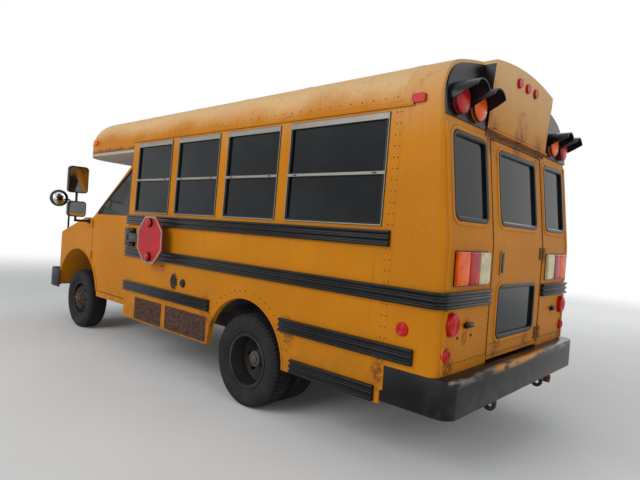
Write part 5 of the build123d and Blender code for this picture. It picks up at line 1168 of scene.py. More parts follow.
class BUS_OT_wheel_fittings(bpy.types.Operator):
    """Fit the wheel nuts, hubs and rolled rim edges"""
    bl_idname = "bus.wheel_fittings"
    bl_label = "Wheel fittings"

    def execute(self, context):
        count = context.scene.bus_sizes.wheel_nuts
        for place, (sign, y, middles, body) in WHEELS.items():
            disc, end = (0.8715, 0.9935) if len(middles) == 2 else (0.9550, 0.9770)
            bm = bmesh.new()
            hex_nut(bm, disc, 0.0850, 0.0140, 0.018)
            nuts = placed(ring_tree().run(bm_mesh(bm), Count=count, Material=finish("rusty_mesh")), 0, y)
            hub = bmesh.new()
            foot = disc - end
            face = [
                (0.0, 0.014), (0.030, 0.014), (0.036, 0.010), (0.037, 0.003), (0.058, 0.003), (0.0632, 0.0),
                (0.0632, -0.020), (0.0655, -0.021), (0.0655, foot + 0.004), (0.075, foot + 0.002),
                (0.075, foot - 0.001), (0.0, foot - 0.001),
            ]
            lathe(hub, face, (end, y, AXLE_Z), X, 40)
            bm = bmesh.new()
            lathe(bm, [(0, 0.002), (0.0062, 0.002), (0.0062, 0.0085), (0, 0.0085)], (end, 0, 0.0475), X, 6)
            bolts = placed(ring_tree().run(bm_mesh(bm), Count=8, Material=finish("cast_grey")), 0, y)
            edges = bmesh.new()
            angles = [radians(45 * k) for k in range(9)]
            for x in middles:
                for at in (RIM_EDGE, -RIM_EDGE):
                    ring = [(0.2185 + 0.0035 * cos(a), at + 0.0042 * sin(a)) for a in angles]
                    lathe(edges, ring, (x, y, AXLE_Z), X, 96)
            for name, mesh, slot, smooth in (
                    ("wheel_nuts", nuts, "rusty_mesh", 30),
                    ("hub", joined(bm_mesh(hub), bolts), "cast_grey", 35),
                    ("rim_edges", bm_mesh(edges), "wheel_black", 60)):
                if sign < 0:
                    turned_over(mesh)
                dressed(f"{name}_{place}", mesh, slot, body, smooth)
        return {"FINISHED"}


# Lamps

# How deep a lens sits in what carries it
LENS_FOOT = 0.004


def dome(radius, height, rim, rings=5):
    """Profile of a domed lens on a short rim, from its foot to its middle."""
    points = [(0, -LENS_FOOT), (radius, -LENS_FOOT), (radius, rim)]
    for k in range(1, rings + 1):
        angle = pi / 2 * k / rings
        points.append((radius * cos(angle) if k < rings else 0, rim + height * sin(angle)))
    return points


def ribbed_lens(radius, height, ribs):
    """Profile of a lens with rings pressed in its face."""
    points = [
        (0, -LENS_FOOT), (radius, -LENS_FOOT), (radius, height * 0.6), (radius * 0.95, height * 0.8)]
    for k in range(ribs):
        far = radius * (0.92 - 0.82 * k / ribs)
        near = radius * (0.92 - 0.82 * (k + 0.5) / ribs)
        rise = height * (0.82 + 0.18 * k / ribs)
        points += [(far, rise), (near, rise + 0.0022)]
    points.append((0, height + 0.001))
    return points


def ring_profile(inner, outer, height):
    """Closed profile of a rolled ring round a lamp."""
    middle = (inner + outer) / 2
    crest = (outer - inner) * 0.2
    return [
        (inner, -0.006), (outer, -0.006), (outer, height * 0.6), (middle + crest, height),
        (middle - crest, height), (inner, height * 0.55), (inner, -0.006),
    ]


# Warning lamps: slot, x, y of the face, and the way they face
WARNING_LAMPS = (
    ("amber_lens", 0.710, 2.9463, 1), ("red_lens", 0.945, 2.9463, 1),
    ("amber_lens", 0.600, -2.1212, -1), ("red_lens", 0.812, -2.0880, -1),
)
WARNING_Z = 2.300


class BUS_OT_warning_lamps(bpy.types.Operator):
    """Fit the lenses and rings of the warning lamps"""
    bl_idname = "bus.warning_lamps"
    bl_label = "Warning lamps"

    def execute(self, context):
        rings = bmesh.new()
        lenses = {"amber_lens": bmesh.new(), "red_lens": bmesh.new()}
        for slot, x, y, way in WARNING_LAMPS:
            node = "lamps_amber" if slot == "amber_lens" else "lamps_red"
            skin = Skin(node)
            face = skin.under((x, y + way * 0.5, WARNING_Z), (0, -way, 0))[0].y
            for sign in SIDES:
                at = (sign * x, face, WARNING_Z)
                lathe(lenses[slot], dome(0.0865, 0.020, 0.002, 6), at, (0, way, 0), 40)
                lathe(rings, ring_profile(0.0855, 0.0935, 0.006), at, (0, way, 0), 40)
        piece("warning_lenses_red", lenses["red_lens"], "red_lens", "root", 50)
        piece("warning_lenses_amber", lenses["amber_lens"], "amber_lens", "root", 50)
        piece("warning_lamp_rings", rings, "black_trim", "root", 50)
        return {"FINISHED"}


# Tail lamps: slot, x from and to
TAIL_LENSES = (
    ("clear_lens", 0.5550, 0.6995), ("red_lens", 0.7020, 0.8465), ("amber_lens", 0.8490, 0.9945),
)
LENS_SCREW = [(0, 0), (0.0048, 0), (0.0048, 0.0012), (0.0030, 0.0026), (0, 0.0028)]


class BUS_OT_tail_lamps(bpy.types.Operator):
    """Fit the tail lamps' lenses, gaskets and screws"""
    bl_idname = "bus.tail_lamps"
    bl_label = "Tail lamps"

    def execute(self, context):
        gaskets = bmesh.new()
        screws = bmesh.new()
        lenses = {slot: bmesh.new() for slot, _, _ in TAIL_LENSES}
        for sign in SIDES:
            for slot, x0, x1 in TAIL_LENSES:
                low, high = sorted((sign * x0, sign * x1))
                rounded_block(
                    lenses[slot], (low, REAR_Y + 0.002, 1.1850), (high, REAR_Y + 0.031, 1.3890), 0.011, 4)
                rounded_plate(
                    gaskets, low - 0.005, high + 0.005, 1.178, 1.396, 0.012, REAR_Y - 0.002, REAR_Y + 0.006)
                for x in (low + 0.016, high - 0.016):
                    for z in (1.1970, 1.3770):
                        lathe(screws, LENS_SCREW, (x, REAR_Y + 0.0302, z), Y, 10)
        for slot, bm in lenses.items():
            piece(f"tail_{slot}", bm, slot, "root", 50)
        piece("tail_lamp_gaskets", gaskets, "black_trim", "root", 40)
        piece("tail_lamp_screws", screws, "rusty_mesh", "root", 50)
        return {"FINISHED"}


# Round lamps and reflectors on the rear: x, height, radius and how far the node stands proud
ROUND_LAMPS = ((0.990, 0.957, 0.067, 0.026), (1.035, 0.778, 0.041, 0.012))


def round_lamps():
    """Round lamps and reflectors of the rear, and the reflectors of the sides."""
    red = bmesh.new()
    rings = bmesh.new()
    for sign in SIDES:
        for x, z, radius, proud in ROUND_LAMPS:
            lathe(red, ribbed_lens(radius - 0.003, 0.006, 5), (sign * x, REAR_Y + proud, z), Y, 36)
            ring = ring_profile(radius - 0.0005, radius + 0.006, proud * 0.45)
            lathe(rings, ring, (sign * x, REAR_Y, z), Y, 36)
        lathe(red, ribbed_lens(0.037, 0.004, 4), (sign * 1.135, 2.763, 0.899), (sign, 0, 0), 32)
        lathe(rings, ring_profile(0.0395, 0.043, 0.004), (sign * SIDE_X, 2.763, 0.899), (sign, 0, 0), 32)
    piece("round_lamp_lenses", red, "red_lens", "root", 20)
    piece("round_lamp_rings", rings, "red_lens", "root", 50)


def plate_fittings():
    """Lamps and bolts round the place of the rear plate."""
    bars = bmesh.new()
    bolts = bmesh.new()
    bar = [(0, -0.047), (0.012, -0.047), (0.017, -0.042), (0.017, 0.042), (0.012, 0.047), (0, 0.047)]
    for x in (0.781, -0.781):
        lathe(bars, bar, (x, REAR_Y + 0.016, 0.937), X, 20)
        rounded_block(bars, (x - 0.036, REAR_Y - 0.002, 0.930), (x + 0.036, REAR_Y + 0.016, 0.948), 0.003, 2)
    bolt = [
        (0, -0.01), (0.0042, -0.01), (0.0042, 0.0), (0.0115, 0.0), (0.0115, 0.0015), (0.0075, 0.0018),
        (0.0075, 0.006), (0, 0.0072)]
    for x in (0.716, 0.894):
        lathe(bolts, bolt, (x, REAR_Y, 0.867), Y, 12)
    piece("plate_lamps", bars, "black_trim", "root", 50)
    piece("plate_bolts", bolts, "rusty_mesh", "root", 40)


def fillers():
    """The round cap and the eight-sided door with its rubber on the left side."""
    face = (1.1300, 0, 0)
    cap = bmesh.new()
    lathe(cap, [(0.0, 0.006), (0.010, 0.006), (0.010, 0.0085), (0.022, 0.0085), (0.026, 0.006), (0.027, 0.0),
                (0.0, -0.001)], face, X, 32)
    cap.transform(Matrix.Translation((0, 0.388, 0.887)) @ Matrix.Diagonal((1, 1.45, 1.45, 1)))
    y, z = 0.235, 0.886
    door = bmesh.new()
    lathe(door, [(0, -0.004), (0.0500, -0.004), (0.0500, 0.0035), (0.0440, 0.0060), (0.0400, 0.0060),
                 (0.0360, 0.0035), (0.0130, 0.0035), (0.0110, 0.0075), (0, 0.0085)], face, X, 8, pi / 8)
    door.transform(Matrix.Translation((0, y, z)) @ Matrix.Diagonal((1, 1, 1.38, 1)))
    piece("filler_door", door, "black_trim", "root", 30)
    angles = (2 * pi * k / 40 for k in range(40))
    rubber = [(Vector((face[0] - 0.0035, y + 0.0535 * cos(a), z + 0.0735 * sin(a))), X) for a in angles]
    sweep(cap, rubber, disc_profile(0.0045, 8), closed=True)
    piece("filler_cap", cap, "black_trim", "root", 40)


def side_lamp():
    """The amber lamp of the left side, half as long again as it is high."""
    middle = (SIDE_X, 0.011, 0.986)
    lens = [(0, -0.001), (0.022, -0.001), (0.022, 0.004), (0.018, 0.010), (0.010, 0.014), (0, 0.0155)]
    for name, profile, slot in (
            ("side_lamp", lens, "amber_lens"),
            ("side_lamp_ring", ring_profile(0.0215, 0.0275, 0.006), "silver_frame")):
        bm = bmesh.new()
        lathe(bm, profile, middle, X, 24)
        for v in bm.verts:
            v.co.y = middle[1] + (v.co.y - middle[1]) * 1.5
        piece(name, bm, slot, "root", 50)


class BUS_OT_small_lamps(bpy.types.Operator):
    """Fit the round lamps, reflectors, plate lamps, fillers, side lamp and cross-view mirrors' faces"""
    bl_idname = "bus.small_lamps"
    bl_label = "Small lamps"

    def execute(self, context):
        round_lamps()
        plate_fittings()
        fillers()
        side_lamp()
        mirrors = bmesh.new()
        for sign in SIDES:
            lathe(mirrors, dome(0.104, 0.052, 0.0, 7), (sign * 1.020, -2.900, 1.655),
                  (-sign * 0.25, 0.96, 0.10), 36)
        piece("cross_view_faces", mirrors, "mirror_face", "root", 60)
        return {"FINISHED"}


# Signs

# Stop sign: middle of its plate and heights of its lamps
STOP_X = 1.226
STOP_Y = -0.070
STOP_Z = 1.255
STOP_LAMP_ZS = (1.090, 1.420)


def octagon_points(flats, x):
    """Corners of the sign's upright eight-sided plate, with a flat at its top."""
    radius = flats / 2 / cos(pi / 8)
    angles = (pi / 8 + k * pi / 4 for k in range(8))
    return [Vector((x, STOP_Y + radius * cos(angle), STOP_Z + radius * sin(angle))) for angle in angles]


class BUS_OT_stop_sign(bpy.types.Operator):
    """Edge the blank stop sign and fit its lamps"""
    bl_idname = "bus.stop_sign"
    bl_label = "Stop sign"

    def execute(self, context):
        border = bmesh.new()
        for face, way in ((1.233, 1), (1.219, -1)):
            outer = octagon_points(0.452, face)
            inner = octagon_points(0.416, face)
            lift = Vector((way * 0.0008, 0, 0))
            rings = [
                [border.verts.new(p + out) for p in points]
                for points, out in ((outer, -lift), (outer, lift), (inner, lift), (inner, -lift))]
            for one, two in zip(rings, rings[1:] + rings[:1]):
                band(border, one, two)
        piece("stop_sign_border", border, "silver_frame", "stop_arm", 30)
        panel = bmesh.new()
        plate(panel, octagon_points(0.457, 0), X, 0.0135, 1.21925)
        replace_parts(piece("stop_sign_panel", panel, "sign_red", "stop_arm", 20), "stop_sign")
        arm = bmesh.new()
        end = STOP_Y - 0.02
        for low, high in ((1.2120, 1.2235), (1.2865, 1.2980)):
            rounded_block(arm, (1.2100, -0.540, low), (1.2188, end, high), 0.003, 2)
        rounded_block(arm, (1.2100, -0.540, 1.2120), (1.2150, end, 1.2980), 0.002, 2)
        rounded_block(arm, (1.1775, -0.5445, 1.2110), (1.2185, -0.5350, 1.2990), 0.003, 2)
        sleeve = [(0.0086, -0.044), (0.0138, -0.044), (0.0138, 0.044), (0.0086, 0.044), (0.0086, -0.044)]
        lathe(arm, sleeve, (1.177, -0.545, STOP_Z), Z, 24)
        lenses = bmesh.new()
        rings = bmesh.new()
        for z in STOP_LAMP_ZS:
            for way in (1, -1):
                out = X * way
                body = [(0, 0), (0.0418, 0), (0.0418, 0.016), (0, 0.016)]
                lathe(arm, body, (STOP_X + way * 0.0075, STOP_Y, z), out, 32)
                x = STOP_X + way * 0.025
                lathe(lenses, dome(0.0385, 0.012, 0.001, 5), (x, STOP_Y, z), out, 32)
                lathe(rings, ring_profile(0.0405, 0.0460, 0.018), (x - way * 0.018, STOP_Y, z), out, 32)
        piece("stop_sign_arm", arm, "black_trim", "stop_arm", 40)
        piece("stop_sign_lenses", lenses, "red_lens", "stop_arm", 50)
        piece("stop_sign_lamp_rings", rings, "black_trim", "stop_arm", 50)
        cover = bmesh.new()
        rounded_block(cover, (1.1245, -0.7175, 1.160), (1.1585, -0.5375, 1.350), 0.010, 3)
        piece("stop_arm_cover", cover, "black_trim", "root", 40)
        return {"FINISHED"}


# Rear door fittings

# Height of the rusty strip over the rear door
HEADER_Z = 2.1740


class BUS_OT_rear_door_fittings(bpy.types.Operator):
    """Fit the rear door's hinge straps, its lever and the rusty joints round it"""
    bl_idname = "bus.rear_door_fittings"
    bl_label = "Rear door fittings"

    def execute(self, context):
        straps = bmesh.new()
        plates = bmesh.new()
        head = [(0, 0), (0.006, 0), (0.0052, 0.003), (0.002, 0.0042), (0, 0.0042)]
        for z in (0.763, 1.390):
            low, high = z - 0.048, z + 0.048
            rounded_plate(straps, -0.452, -0.400, low, high, 0.006, REAR_Y - 0.001, REAR_Y + 0.0075)
            rounded_plate(plates, -0.520, -0.478, low, high, 0.006, REAR_Y - 0.001, REAR_Y + 0.0075)
            for spot in (low + 0.014, z, high - 0.014):
                for x, bm in ((-0.418, straps), (-0.506, plates)):
                    lathe(bm, head, (x, REAR_Y + 0.007, spot), Y, 10)
        piece("rear_door_hinge_straps", straps, "rusty_mesh", "exit_door", 40)
        piece("rear_wall_hinge_straps", plates, "rusty_mesh", "root", 40)
        lever = bmesh.new()
        rounded_block(lever, (0.3005, REAR_Y - 0.022, 1.2490), (0.3395, REAR_Y + 0.001, 1.3930), 0.003, 2)
        rounded_block(lever, (0.3050, REAR_Y - 0.002, 1.256), (0.3350, REAR_Y + 0.012, 1.386), 0.006, 3)
        piece("rear_door_lever", lever, "black_trim", "exit_door", 40)
        frame_ring = bmesh.new()
        ring = [(Vector((x, REAR_Y + 0.0075, z)), Y)
                for x, z in rounded_corners(0.2915, 0.3485, 1.2395, 1.4025, 0.010)]
        sweep(frame_ring, ring, band_profile(0.006, 0.003, 0.001), closed=True)
        piece("rear_door_pull_frame", frame_ring, "silver_frame", "exit_door", 40)
        skin = Skin("rear_wall")
        header = bmesh.new()
        strip = rear_path(skin, ((-0.545, HEADER_Z), (0.545, HEADER_Z)), CLOSE)
        sweep(header, strip, band_profile(0.030, 0.004))
        piece("door_header_strip", header, "rusty_mesh", "root", 40)
        row = rear_path(skin, ((-0.535, HEADER_Z), (0.535, HEADER_Z)), CLOSE)
        rivets("door_header_rivets", [row], "rusty_mesh", "root", 0.028, 0.0058)
        edges = bmesh.new()
        face = RearFace()
        for x in (-0.4715, 0.4715):
            path = [(Vector((x, face.y(z), z)), face.normal(z)) for z in (0.690, 1.0, 1.445, 1.80, 2.150)]
            sweep(edges, path, band_profile(0.0045, 0.0035, 0.0008, 0.030))
        piece("rear_door_gasket", edges, "black_trim", "root", 40)
        return {"FINISHED"}


# Vents

# Openings in the left skirt: y from and to, and z from and to; then their mesh and rim
VENT_SPANS = ((-0.481, 0.053), (0.105, 0.791))
VENT_Z = (0.415, 0.648)
STRAND_PITCH = 0.0225
STRAND_SECTION = [(-0.0024, -0.0013), (0.0024, -0.0013), (0.0024, 0.0013), (-0.0024, 0.0013)]
VENT_RIM = [
    (-0.008, -0.0020), (-0.008, 0.0012), (-0.005, 0.0034), (0.005, 0.0034), (0.008, 0.0012), (0.008, -0.0020)]


def vent_strands(bm, y0, y1):
    """Strands of expanded mesh that cross in an opening, cut off at its ends."""
    z0, z1 = VENT_Z
    height = z1 - z0
    low, high = y0 + 0.006, y1 - 0.006
    for lean in (1, -1):
        x = 1.1273 + 0.0008 * lean
        for k in range(1, int((y1 - y0 + height) / STRAND_PITCH) + 1):
            foot = (y0 - height if lean > 0 else y0) + k * STRAND_PITCH
            ends = []
            for y, z in ((foot, z0), (foot + lean * height, z0 + height)):
                inside = min(max(y, low), high)
                ends.append((Vector((x, inside, z + (inside - y) * lean)), X))
            if abs(ends[1][0].y - ends[0][0].y) >= 0.01:
                sweep(bm, ends, STRAND_SECTION)


class BUS_OT_vents(bpy.types.Operator):
    """Make the skirt vents: pressed frames round rusty expanded mesh, on a dark sheet of painted shade in
    each opening
    """
    bl_idname = "bus.vents"
    bl_label = "Vents"

    def execute(self, context):
        frames = bmesh.new()
        mesh = bmesh.new()
        shade_backs = bmesh.new()
        z0, z1 = VENT_Z
        for y0, y1 in VENT_SPANS:
            rim = [(Vector((SIDE_X, y, z)), X) for y, z in rounded_corners(y0, y1, z0, z1, 0.006, 3)]
            sweep(frames, rim, VENT_RIM, closed=True)
            vent_strands(mesh, y0, y1)
            # Dark sheet behind the mesh in each opening: painted shade of the hollow behind the vent
            rounded_block(
                shade_backs, (1.1205, y0 + 0.002, z0 + 0.002), (1.1260, y1 - 0.002, z1 - 0.002), 0.0008, 1)
        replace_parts(piece("vent_frames", frames, "body_yellow", "root", 30), "vent_grilles")
        piece("vent_mesh", mesh, "rusty_mesh", "root", 30)
        piece("vent_painted_shade", shade_backs, "chassis_black", "root", 30)
        return {"FINISHED"}


# Windows and cab trim

class BUS_OT_window_bars(bpy.types.Operator):
    """Lay the pale headers, middle bars and thin edges of the side windows"""
    bl_idname = "bus.window_bars"
    bl_label = "Window bars"

    def execute(self, context):
        skin = Skin("window_frames", *BODY_PANELS)
        bars = bmesh.new()
        low, high = WINDOW_Z
        across = (
            (high - 0.0235, 0.040, 0.0055), (WINDOW_BAR_Z, 0.020, 0.0075), (low + 0.006, 0.009, 0.004))
        for sign in SIDES:
            for y0, y1 in WINDOW_SPANS:
                for z, width, rise in across:
                    path = side_path(skin, sign, ((y0 + 0.003, z), (y1 - 0.003, z)), 0.3)
                    sweep(bars, path, band_profile(width, rise, 0.0015))
                for y in (y0 + 0.0045, y1 - 0.0045):
                    path = side_path(skin, sign, ((y, low + 0.004), (y, high - 0.004)), 0.3)
                    sweep(bars, path, band_profile(0.0045, 0.0035, 0.001))
        piece("side_window_bars", bars, "silver_frame", "root", 40)
        latches = bmesh.new()
        half = Vector((0.004, 0.016, 0.004))
        for sign in SIDES:
            for y0, y1 in WINDOW_SPANS:
                for y in (y0 + 0.085, y1 - 0.085):
                    place, out = skin.under((sign * 3, y, WINDOW_BAR_Z), (-sign, 0, 0))
                    spot = place + out * 0.007
                    rounded_block(latches, spot - half, spot + half, 0.002, 2)
        piece("window_latches", latches, "black_trim", "root", 40)
        return {"FINISHED"}


def islands(mesh):
    """Vertex places of each separate part of a mesh."""
    bm = bmesh.new()
    bm.from_mesh(mesh)
    bmesh.ops.remove_doubles(bm, verts=bm.verts, dist=1e-5)
    seen = set()
    groups = []
    for start in bm.verts:
        if start in seen:
            continue
        seen.add(start)
        stack = [start]
        group = []
        while stack:
            vert = stack.pop()
            group.append(vert.co.copy())
            for edge in vert.link_edges:
                other = edge.other_vert(vert)
                if other not in seen:
                    seen.add(other)
                    stack.append(other)
        groups.append(group)
    bm.free()
    return groups


def pane_rims(name, out):
    """Outline of each pane of a node, along its outer edge, as (place, normal) paths."""
    out = Vector(out).normalized()
    across = out.orthogonal().normalized()
    up = out.cross(across)
    rims = []
    for group in islands(NODES[name].data):
        flat = [Vector((p.dot(across), p.dot(up))) for p in group]
        rim = []
        for k in convex_hull_2d(flat):
            near = [p for p, q in zip(group, flat) if (q - flat[k]).length < 0.009]
            rim.append(max(near, key=lambda p: p.dot(out)))
        path = []
        for place in rim:
            if not path or (place - path[-1][0]).length >= 0.004:
                path.append((place, out))
        rims.append(path)
    return rims


# Panes of the cab and the entry door: node, the way it faces, body, and radius of its rubber
CAB_PANES = (
    ("windscreen", (0, -0.80, 0.60), "root", 0.011),
    ("driver_door_glass", (0.98, 0, 0.16), "cab_door", 0.009),
    ("entry_glass_front", (-1, 0, 0), "entry_front", 0.007),
    ("entry_glass_rear", (-1, 0, 0), "entry_rear", 0.007),
)


class BUS_OT_cab_rubbers(bpy.types.Operator):
    """Seal the windscreen, the cab door's window and the entry door's panes in rubber"""
    bl_idname = "bus.cab_rubbers"
    bl_label = "Cab window rubbers"

    def execute(self, context):
        for name, out, body, radius in CAB_PANES:
            bm = bmesh.new()
            for path in pane_rims(name, out):
                sweep(bm, path, disc_profile(radius, 8, 0.75, 0.001), closed=True)
            piece(f"{name}_rubber", bm, "black_trim", body, 60)
        return {"FINISHED"}


# Seats

# Benches: x of the middle, half their width and y of each row; and the driver's seat
BENCH_X = 0.680
BENCH_HALF = 0.380
BENCH_YS = (-0.095, 0.595, 1.285, 1.975, 2.665)
DRIVER_SEAT = (0.520, -0.908, 1.090)
CLOTH_FRAMES = 20


def pad_mesh(low, high, corner, voxel, swell):
    """Cushion between two corners: a rounded block, swelled as cloth, that fills at most that space."""
    low = Vector(low)
    high = Vector(high)
    inset = Vector((swell, swell, swell))
    bm = bmesh.new()
    rounded_block(bm, low + inset, high - inset, corner, 4)
    thing = added("pad", bm_mesh(bm))
    remesh = thing.modifiers.new("remesh", "REMESH")
    remesh.mode = "VOXEL"
    remesh.voxel_size = voxel
    solid = shown_mesh(thing)
    thing.modifiers.remove(remesh)
    thing.data = solid
    cloth = thing.modifiers.new("cloth", "CLOTH")
    cloth.settings.use_pressure = True
    cloth.settings.uniform_pressure_force = 4.0
    cloth.settings.effector_weights.gravity = 0.0
    cloth.settings.quality = 5
    cloth.point_cache.frame_start = 1
    cloth.point_cache.frame_end = CLOTH_FRAMES
    for frame_number in range(1, CLOTH_FRAMES + 1):
        bpy.context.scene.frame_set(frame_number)
    swelled = shown_mesh(thing)
    thing.modifiers.remove(cloth)
    for start, end in zip(solid.vertices, swelled.vertices):
        move = end.co - start.co
        if move.length > swell:
            move = move.normalized() * swell
        start.co += move
    bpy.context.scene.frame_set(1)
    bpy.data.meshes.remove(swelled)
    bpy.data.objects.remove(thing)
    for vert in solid.vertices:
        vert.co = [min(max(at, least), most) for at, least, most in zip(vert.co, low, high)]
    return solid


def smoothed_pad(name, mesh):
    """One padded piece, subdivided once."""
    thing = dressed(name, mesh, "seat_vinyl", "root", 80)
    soft = thing.modifiers.new("soft", "SUBSURF")
    soft.levels = soft.render_levels = 1
    return thing


class BUS_OT_seats(bpy.types.Operator):
    """Pad the benches and the driver's seat"""
    bl_idname = "bus.seats"
    bl_label = "Seats"

    def execute(self, context):
        seat = pad_mesh((-BENCH_HALF, -0.390, 1.0805), (BENCH_HALF, 0.0, 1.190), 0.030, 0.034, 0.012)
        back = pad_mesh((-BENCH_HALF, 0.002, 1.040), (BENCH_HALF, 0.090, 1.750), 0.026, 0.030, 0.012)
        places = [(x, y) for y in BENCH_YS for x in (BENCH_X, -BENCH_X)]
        for number, (x, y) in enumerate(places, 1):
            for kind, mesh in (("seat", seat), ("back", back)):
                copy = mesh.copy()
                copy.transform(Matrix.Translation((x, y, 0)))
                made = smoothed_pad(f"bench_{kind}_{number}", copy)
                if (number, kind) == (1, "seat"):
                    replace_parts(made, "bench_cushions")
        x, y, z = DRIVER_SEAT
        mesh = pad_mesh((x - 0.250, y - 0.480, z - 0.110), (x + 0.250, y - 0.042, z), 0.040, 0.030, 0.014)
        made = smoothed_pad("driver_seat_pad", mesh)
        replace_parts(made, "driver_seat")
        mesh = pad_mesh(
            (x - 0.250, y - 0.040, z - 0.060), (x + 0.250, y + 0.080, z + 0.620), 0.045, 0.030, 0.014)
        smoothed_pad("driver_back_pad", mesh)
        base = bmesh.new()
        rounded_block(base, (x - 0.185, y - 0.420, 0.740), (x + 0.185, y - 0.050, 0.790), 0.012, 3)
        bellows = [(0.0, 0.780)]
        for k in range(7):
            bellows += [(0.150, 0.790 + 0.030 * k), (0.135, 0.805 + 0.030 * k)]
        bellows += [(0.150, 0.9795), (0.0, 0.9795)]
        lathe(base, bellows, (x, y - 0.235, 0), Z, 28)
        piece("driver_seat_base", base, "chassis_black", "root", 40)
        return {"FINISHED"}


# Cab and wheel arches

ARCH_STEPS = 48
ARCH_LIP = [
    (-0.009, -0.004), (-0.009, 0.005), (-0.004, 0.010), (0.004, 0.009), (0.010, 0.002), (0.010, -0.004)]


class BUS_OT_fenders(bpy.types.Operator):
    """Roll the lips of the wheel arches"""
    bl_idname = "bus.fenders"
    bl_label = "Wheel arch lips"

    def execute(self, context):
        bm = bmesh.new()
        rear = Skin("left_wall", "right_wall")
        front = Skin("cab_shell", "hood_panel")
        for skin, middle, low, radius, start, end in (
                (rear, ARCH_Y, ARCH_Z, 0.478, 2, 178), (front, FRONT_AXLE_Y, 0.430, 0.588, 12, 168)):
            for sign in SIDES:
                path = []
                for k in range(ARCH_STEPS + 1):
                    angle = radians(start + (end - start) * k / ARCH_STEPS)
                    spot = (sign * 3, middle + radius * cos(angle), low + radius * sin(angle))
                    try:
                        place, _ = skin.under(spot, (-sign, 0, 0))
                    except RuntimeError:
                        continue
                    if abs(place.x) > 0.80:
                        path.append((place, Vector((sign, 0, 0))))
                if len(path) > 3:
                    sweep(bm, path, ARCH_LIP)
        piece("arch_lips", bm, "body_yellow", "root", 50)
        return {"FINISHED"}


class BUS_OT_cab_front(bpy.types.Operator):
    """Trim the headlamps, and fit the turn lamps, the wipers and the cab door's handle"""
    bl_idname = "bus.cab_front"
    bl_label = "Cab front"

    def execute(self, context):
        bezels = bmesh.new()
        lenses = bmesh.new()
        amber = bmesh.new()
        nose = Skin("cab_shell", "hood_panel")
        for sign in SIDES:
            x0, x1 = sorted((sign * 0.470, sign * 0.735))
            ring = [(Vector((x, -2.984, z)), -Y)
                    for x, z in rounded_corners(x0 + 0.004, x1 - 0.004, 0.834, 1.016, 0.014)]
            sweep(bezels, ring, band_profile(0.016, 0.007, 0.003, 0.006), closed=True)
            rounded_block(lenses, (x0 + 0.014, -2.9905, 0.844), (x1 - 0.014, -2.975, 1.006), 0.006, 3)
            a0, a1 = sorted((sign * 0.752, sign * 0.812))
            face = nose.under((sign * 0.782, -4, 0.925), Y)[0].y
            rounded_block(amber, (a0, face - 0.012, 0.842), (a1, face + 0.020, 1.008), 0.010, 3)
        piece("headlamp_bezels", bezels, "silver_frame", "root", 40)
        piece("headlamp_lenses", lenses, "clear_lens", "root", 40)
        piece("turn_lamps", amber, "amber_lens", "root", 40)
        glass = Skin("windscreen")
        arms = bmesh.new()
        for x in (0.16, -0.62):
            blade = []
            for t in (0.0, 0.25, 0.5, 0.75, 1.0):
                place, out = glass.under((x + 0.52 * t, -REAR_CLEAR, 1.545 + 0.07 * t), Y)
                blade.append(place + out * 0.010)
            tube(arms, blade, 0.0045, 8)
            foot = blade[0]
            arm = [
                (x + 0.02, foot.y - 0.055, foot.z - 0.075), (x + 0.05, foot.y - 0.040, foot.z - 0.040),
                blade[2] + Vector((0, -0.008, 0.010))]
            tube(arms, arm, 0.0055, 8)
        piece("wipers", arms, "black_trim", "root", 50)
        handle = bmesh.new()
        door = Skin("driver_door")
        y = -0.810
        base = door.under((3, y, 1.345), -X)[0].x
        rounded_block(handle, (base - 0.002, y - 0.062, 1.322), (base + 0.006, y + 0.062, 1.368), 0.003, 2)
        grip = (0.004, -0.050), (0.026, -0.042), (0.026, 0.042), (0.004, 0.050)
        tube(handle, [(base + out, y + along, 1.345) for out, along in grip], 0.008, 10)
        lathe(handle, [(0.010, 0.0), (0.010, 0.004), (0, 0.0045)], (base, y + 0.006, 1.300), X, 16)
        piece("cab_door_handle", handle, "black_trim", "cab_door", 40)
        return {"FINISHED"}


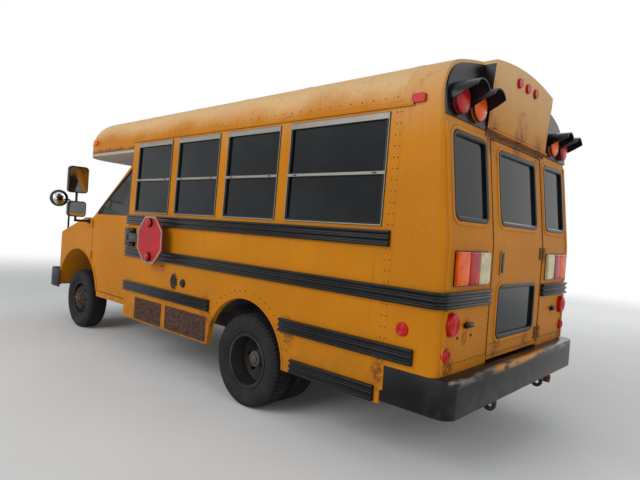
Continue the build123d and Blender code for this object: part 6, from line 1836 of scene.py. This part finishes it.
def softened(node, width):
    """A node's mesh with its sharp edges rounded, shown in the node's place."""
    bm = bmesh.new()
    bm.from_mesh(NODES[node].data)
    bmesh.ops.remove_doubles(bm, verts=bm.verts, dist=1e-5)
    bmesh.ops.dissolve_limit(bm, angle_limit=radians(0.5), verts=bm.verts, edges=bm.edges)
    thing = added("rounded", bm_mesh(bm))
    bevel = thing.modifiers.new("bevel", "BEVEL")
    bevel.width = width
    bevel.segments = 2
    bevel.limit_method = "ANGLE"
    bevel.angle_limit = radians(35)
    bevel.use_clamp_overlap = True
    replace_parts(dressed(f"{node}_rounded", last_mesh(thing), "black_trim", "root", 40), node)


class BUS_OT_softened(bpy.types.Operator):
    """Round the edges of the bumpers, mirrors and rub rails"""
    bl_idname = "bus.softened"
    bl_label = "Rounded edges"

    def execute(self, context):
        for node, width in (
                ("rear_bumper", 0.006), ("front_bumper", 0.006), ("mirrors", 0.008), ("rub_rails", 0.0022)):
            softened(node, width)
        return {"FINISHED"}


# Add-on

STEPS = (
    BUS_OT_finishes, BUS_OT_stage, BUS_OT_rivets, BUS_OT_seams, BUS_OT_window_seals, BUS_OT_tyres,
    BUS_OT_wheel_fittings, BUS_OT_warning_lamps, BUS_OT_tail_lamps, BUS_OT_small_lamps, BUS_OT_stop_sign,
    BUS_OT_rear_door_fittings, BUS_OT_vents, BUS_OT_window_bars, BUS_OT_cab_rubbers, BUS_OT_seats,
    BUS_OT_fenders, BUS_OT_cab_front, BUS_OT_softened,
)


class BUS_PT_panel(bpy.types.Panel):
    """Lists the steps that dress the bus"""
    bl_idname = "BUS_PT_panel"
    bl_label = "Short school bus"
    bl_space_type = "VIEW_3D"
    bl_region_type = "UI"
    bl_category = "Bus"

    def draw(self, context):
        layout = self.layout
        for group in (context.scene.bus_sizes, context.scene.bus_colours):
            for name in group.bl_rna.properties.keys():
                if name not in ("rna_type", "name"):
                    layout.prop(group, name)
        for step in STEPS:
            layout.operator(step.bl_idname)


CLASSES = (BusSizes, BusColours, *STEPS, BUS_PT_panel)


def register():
    for item in CLASSES:
        bpy.utils.register_class(item)
    bpy.types.Scene.bus_sizes = PointerProperty(type=BusSizes)
    bpy.types.Scene.bus_colours = PointerProperty(type=BusColours)


def unregister():
    del bpy.types.Scene.bus_colours
    del bpy.types.Scene.bus_sizes
    for item in reversed(CLASSES):
        bpy.utils.unregister_class(item)


def main():
    register()
    for step in STEPS:
        area, name = step.bl_idname.split(".")
        getattr(getattr(bpy.ops, area), name)()


if __name__ == "__main__":
    main()
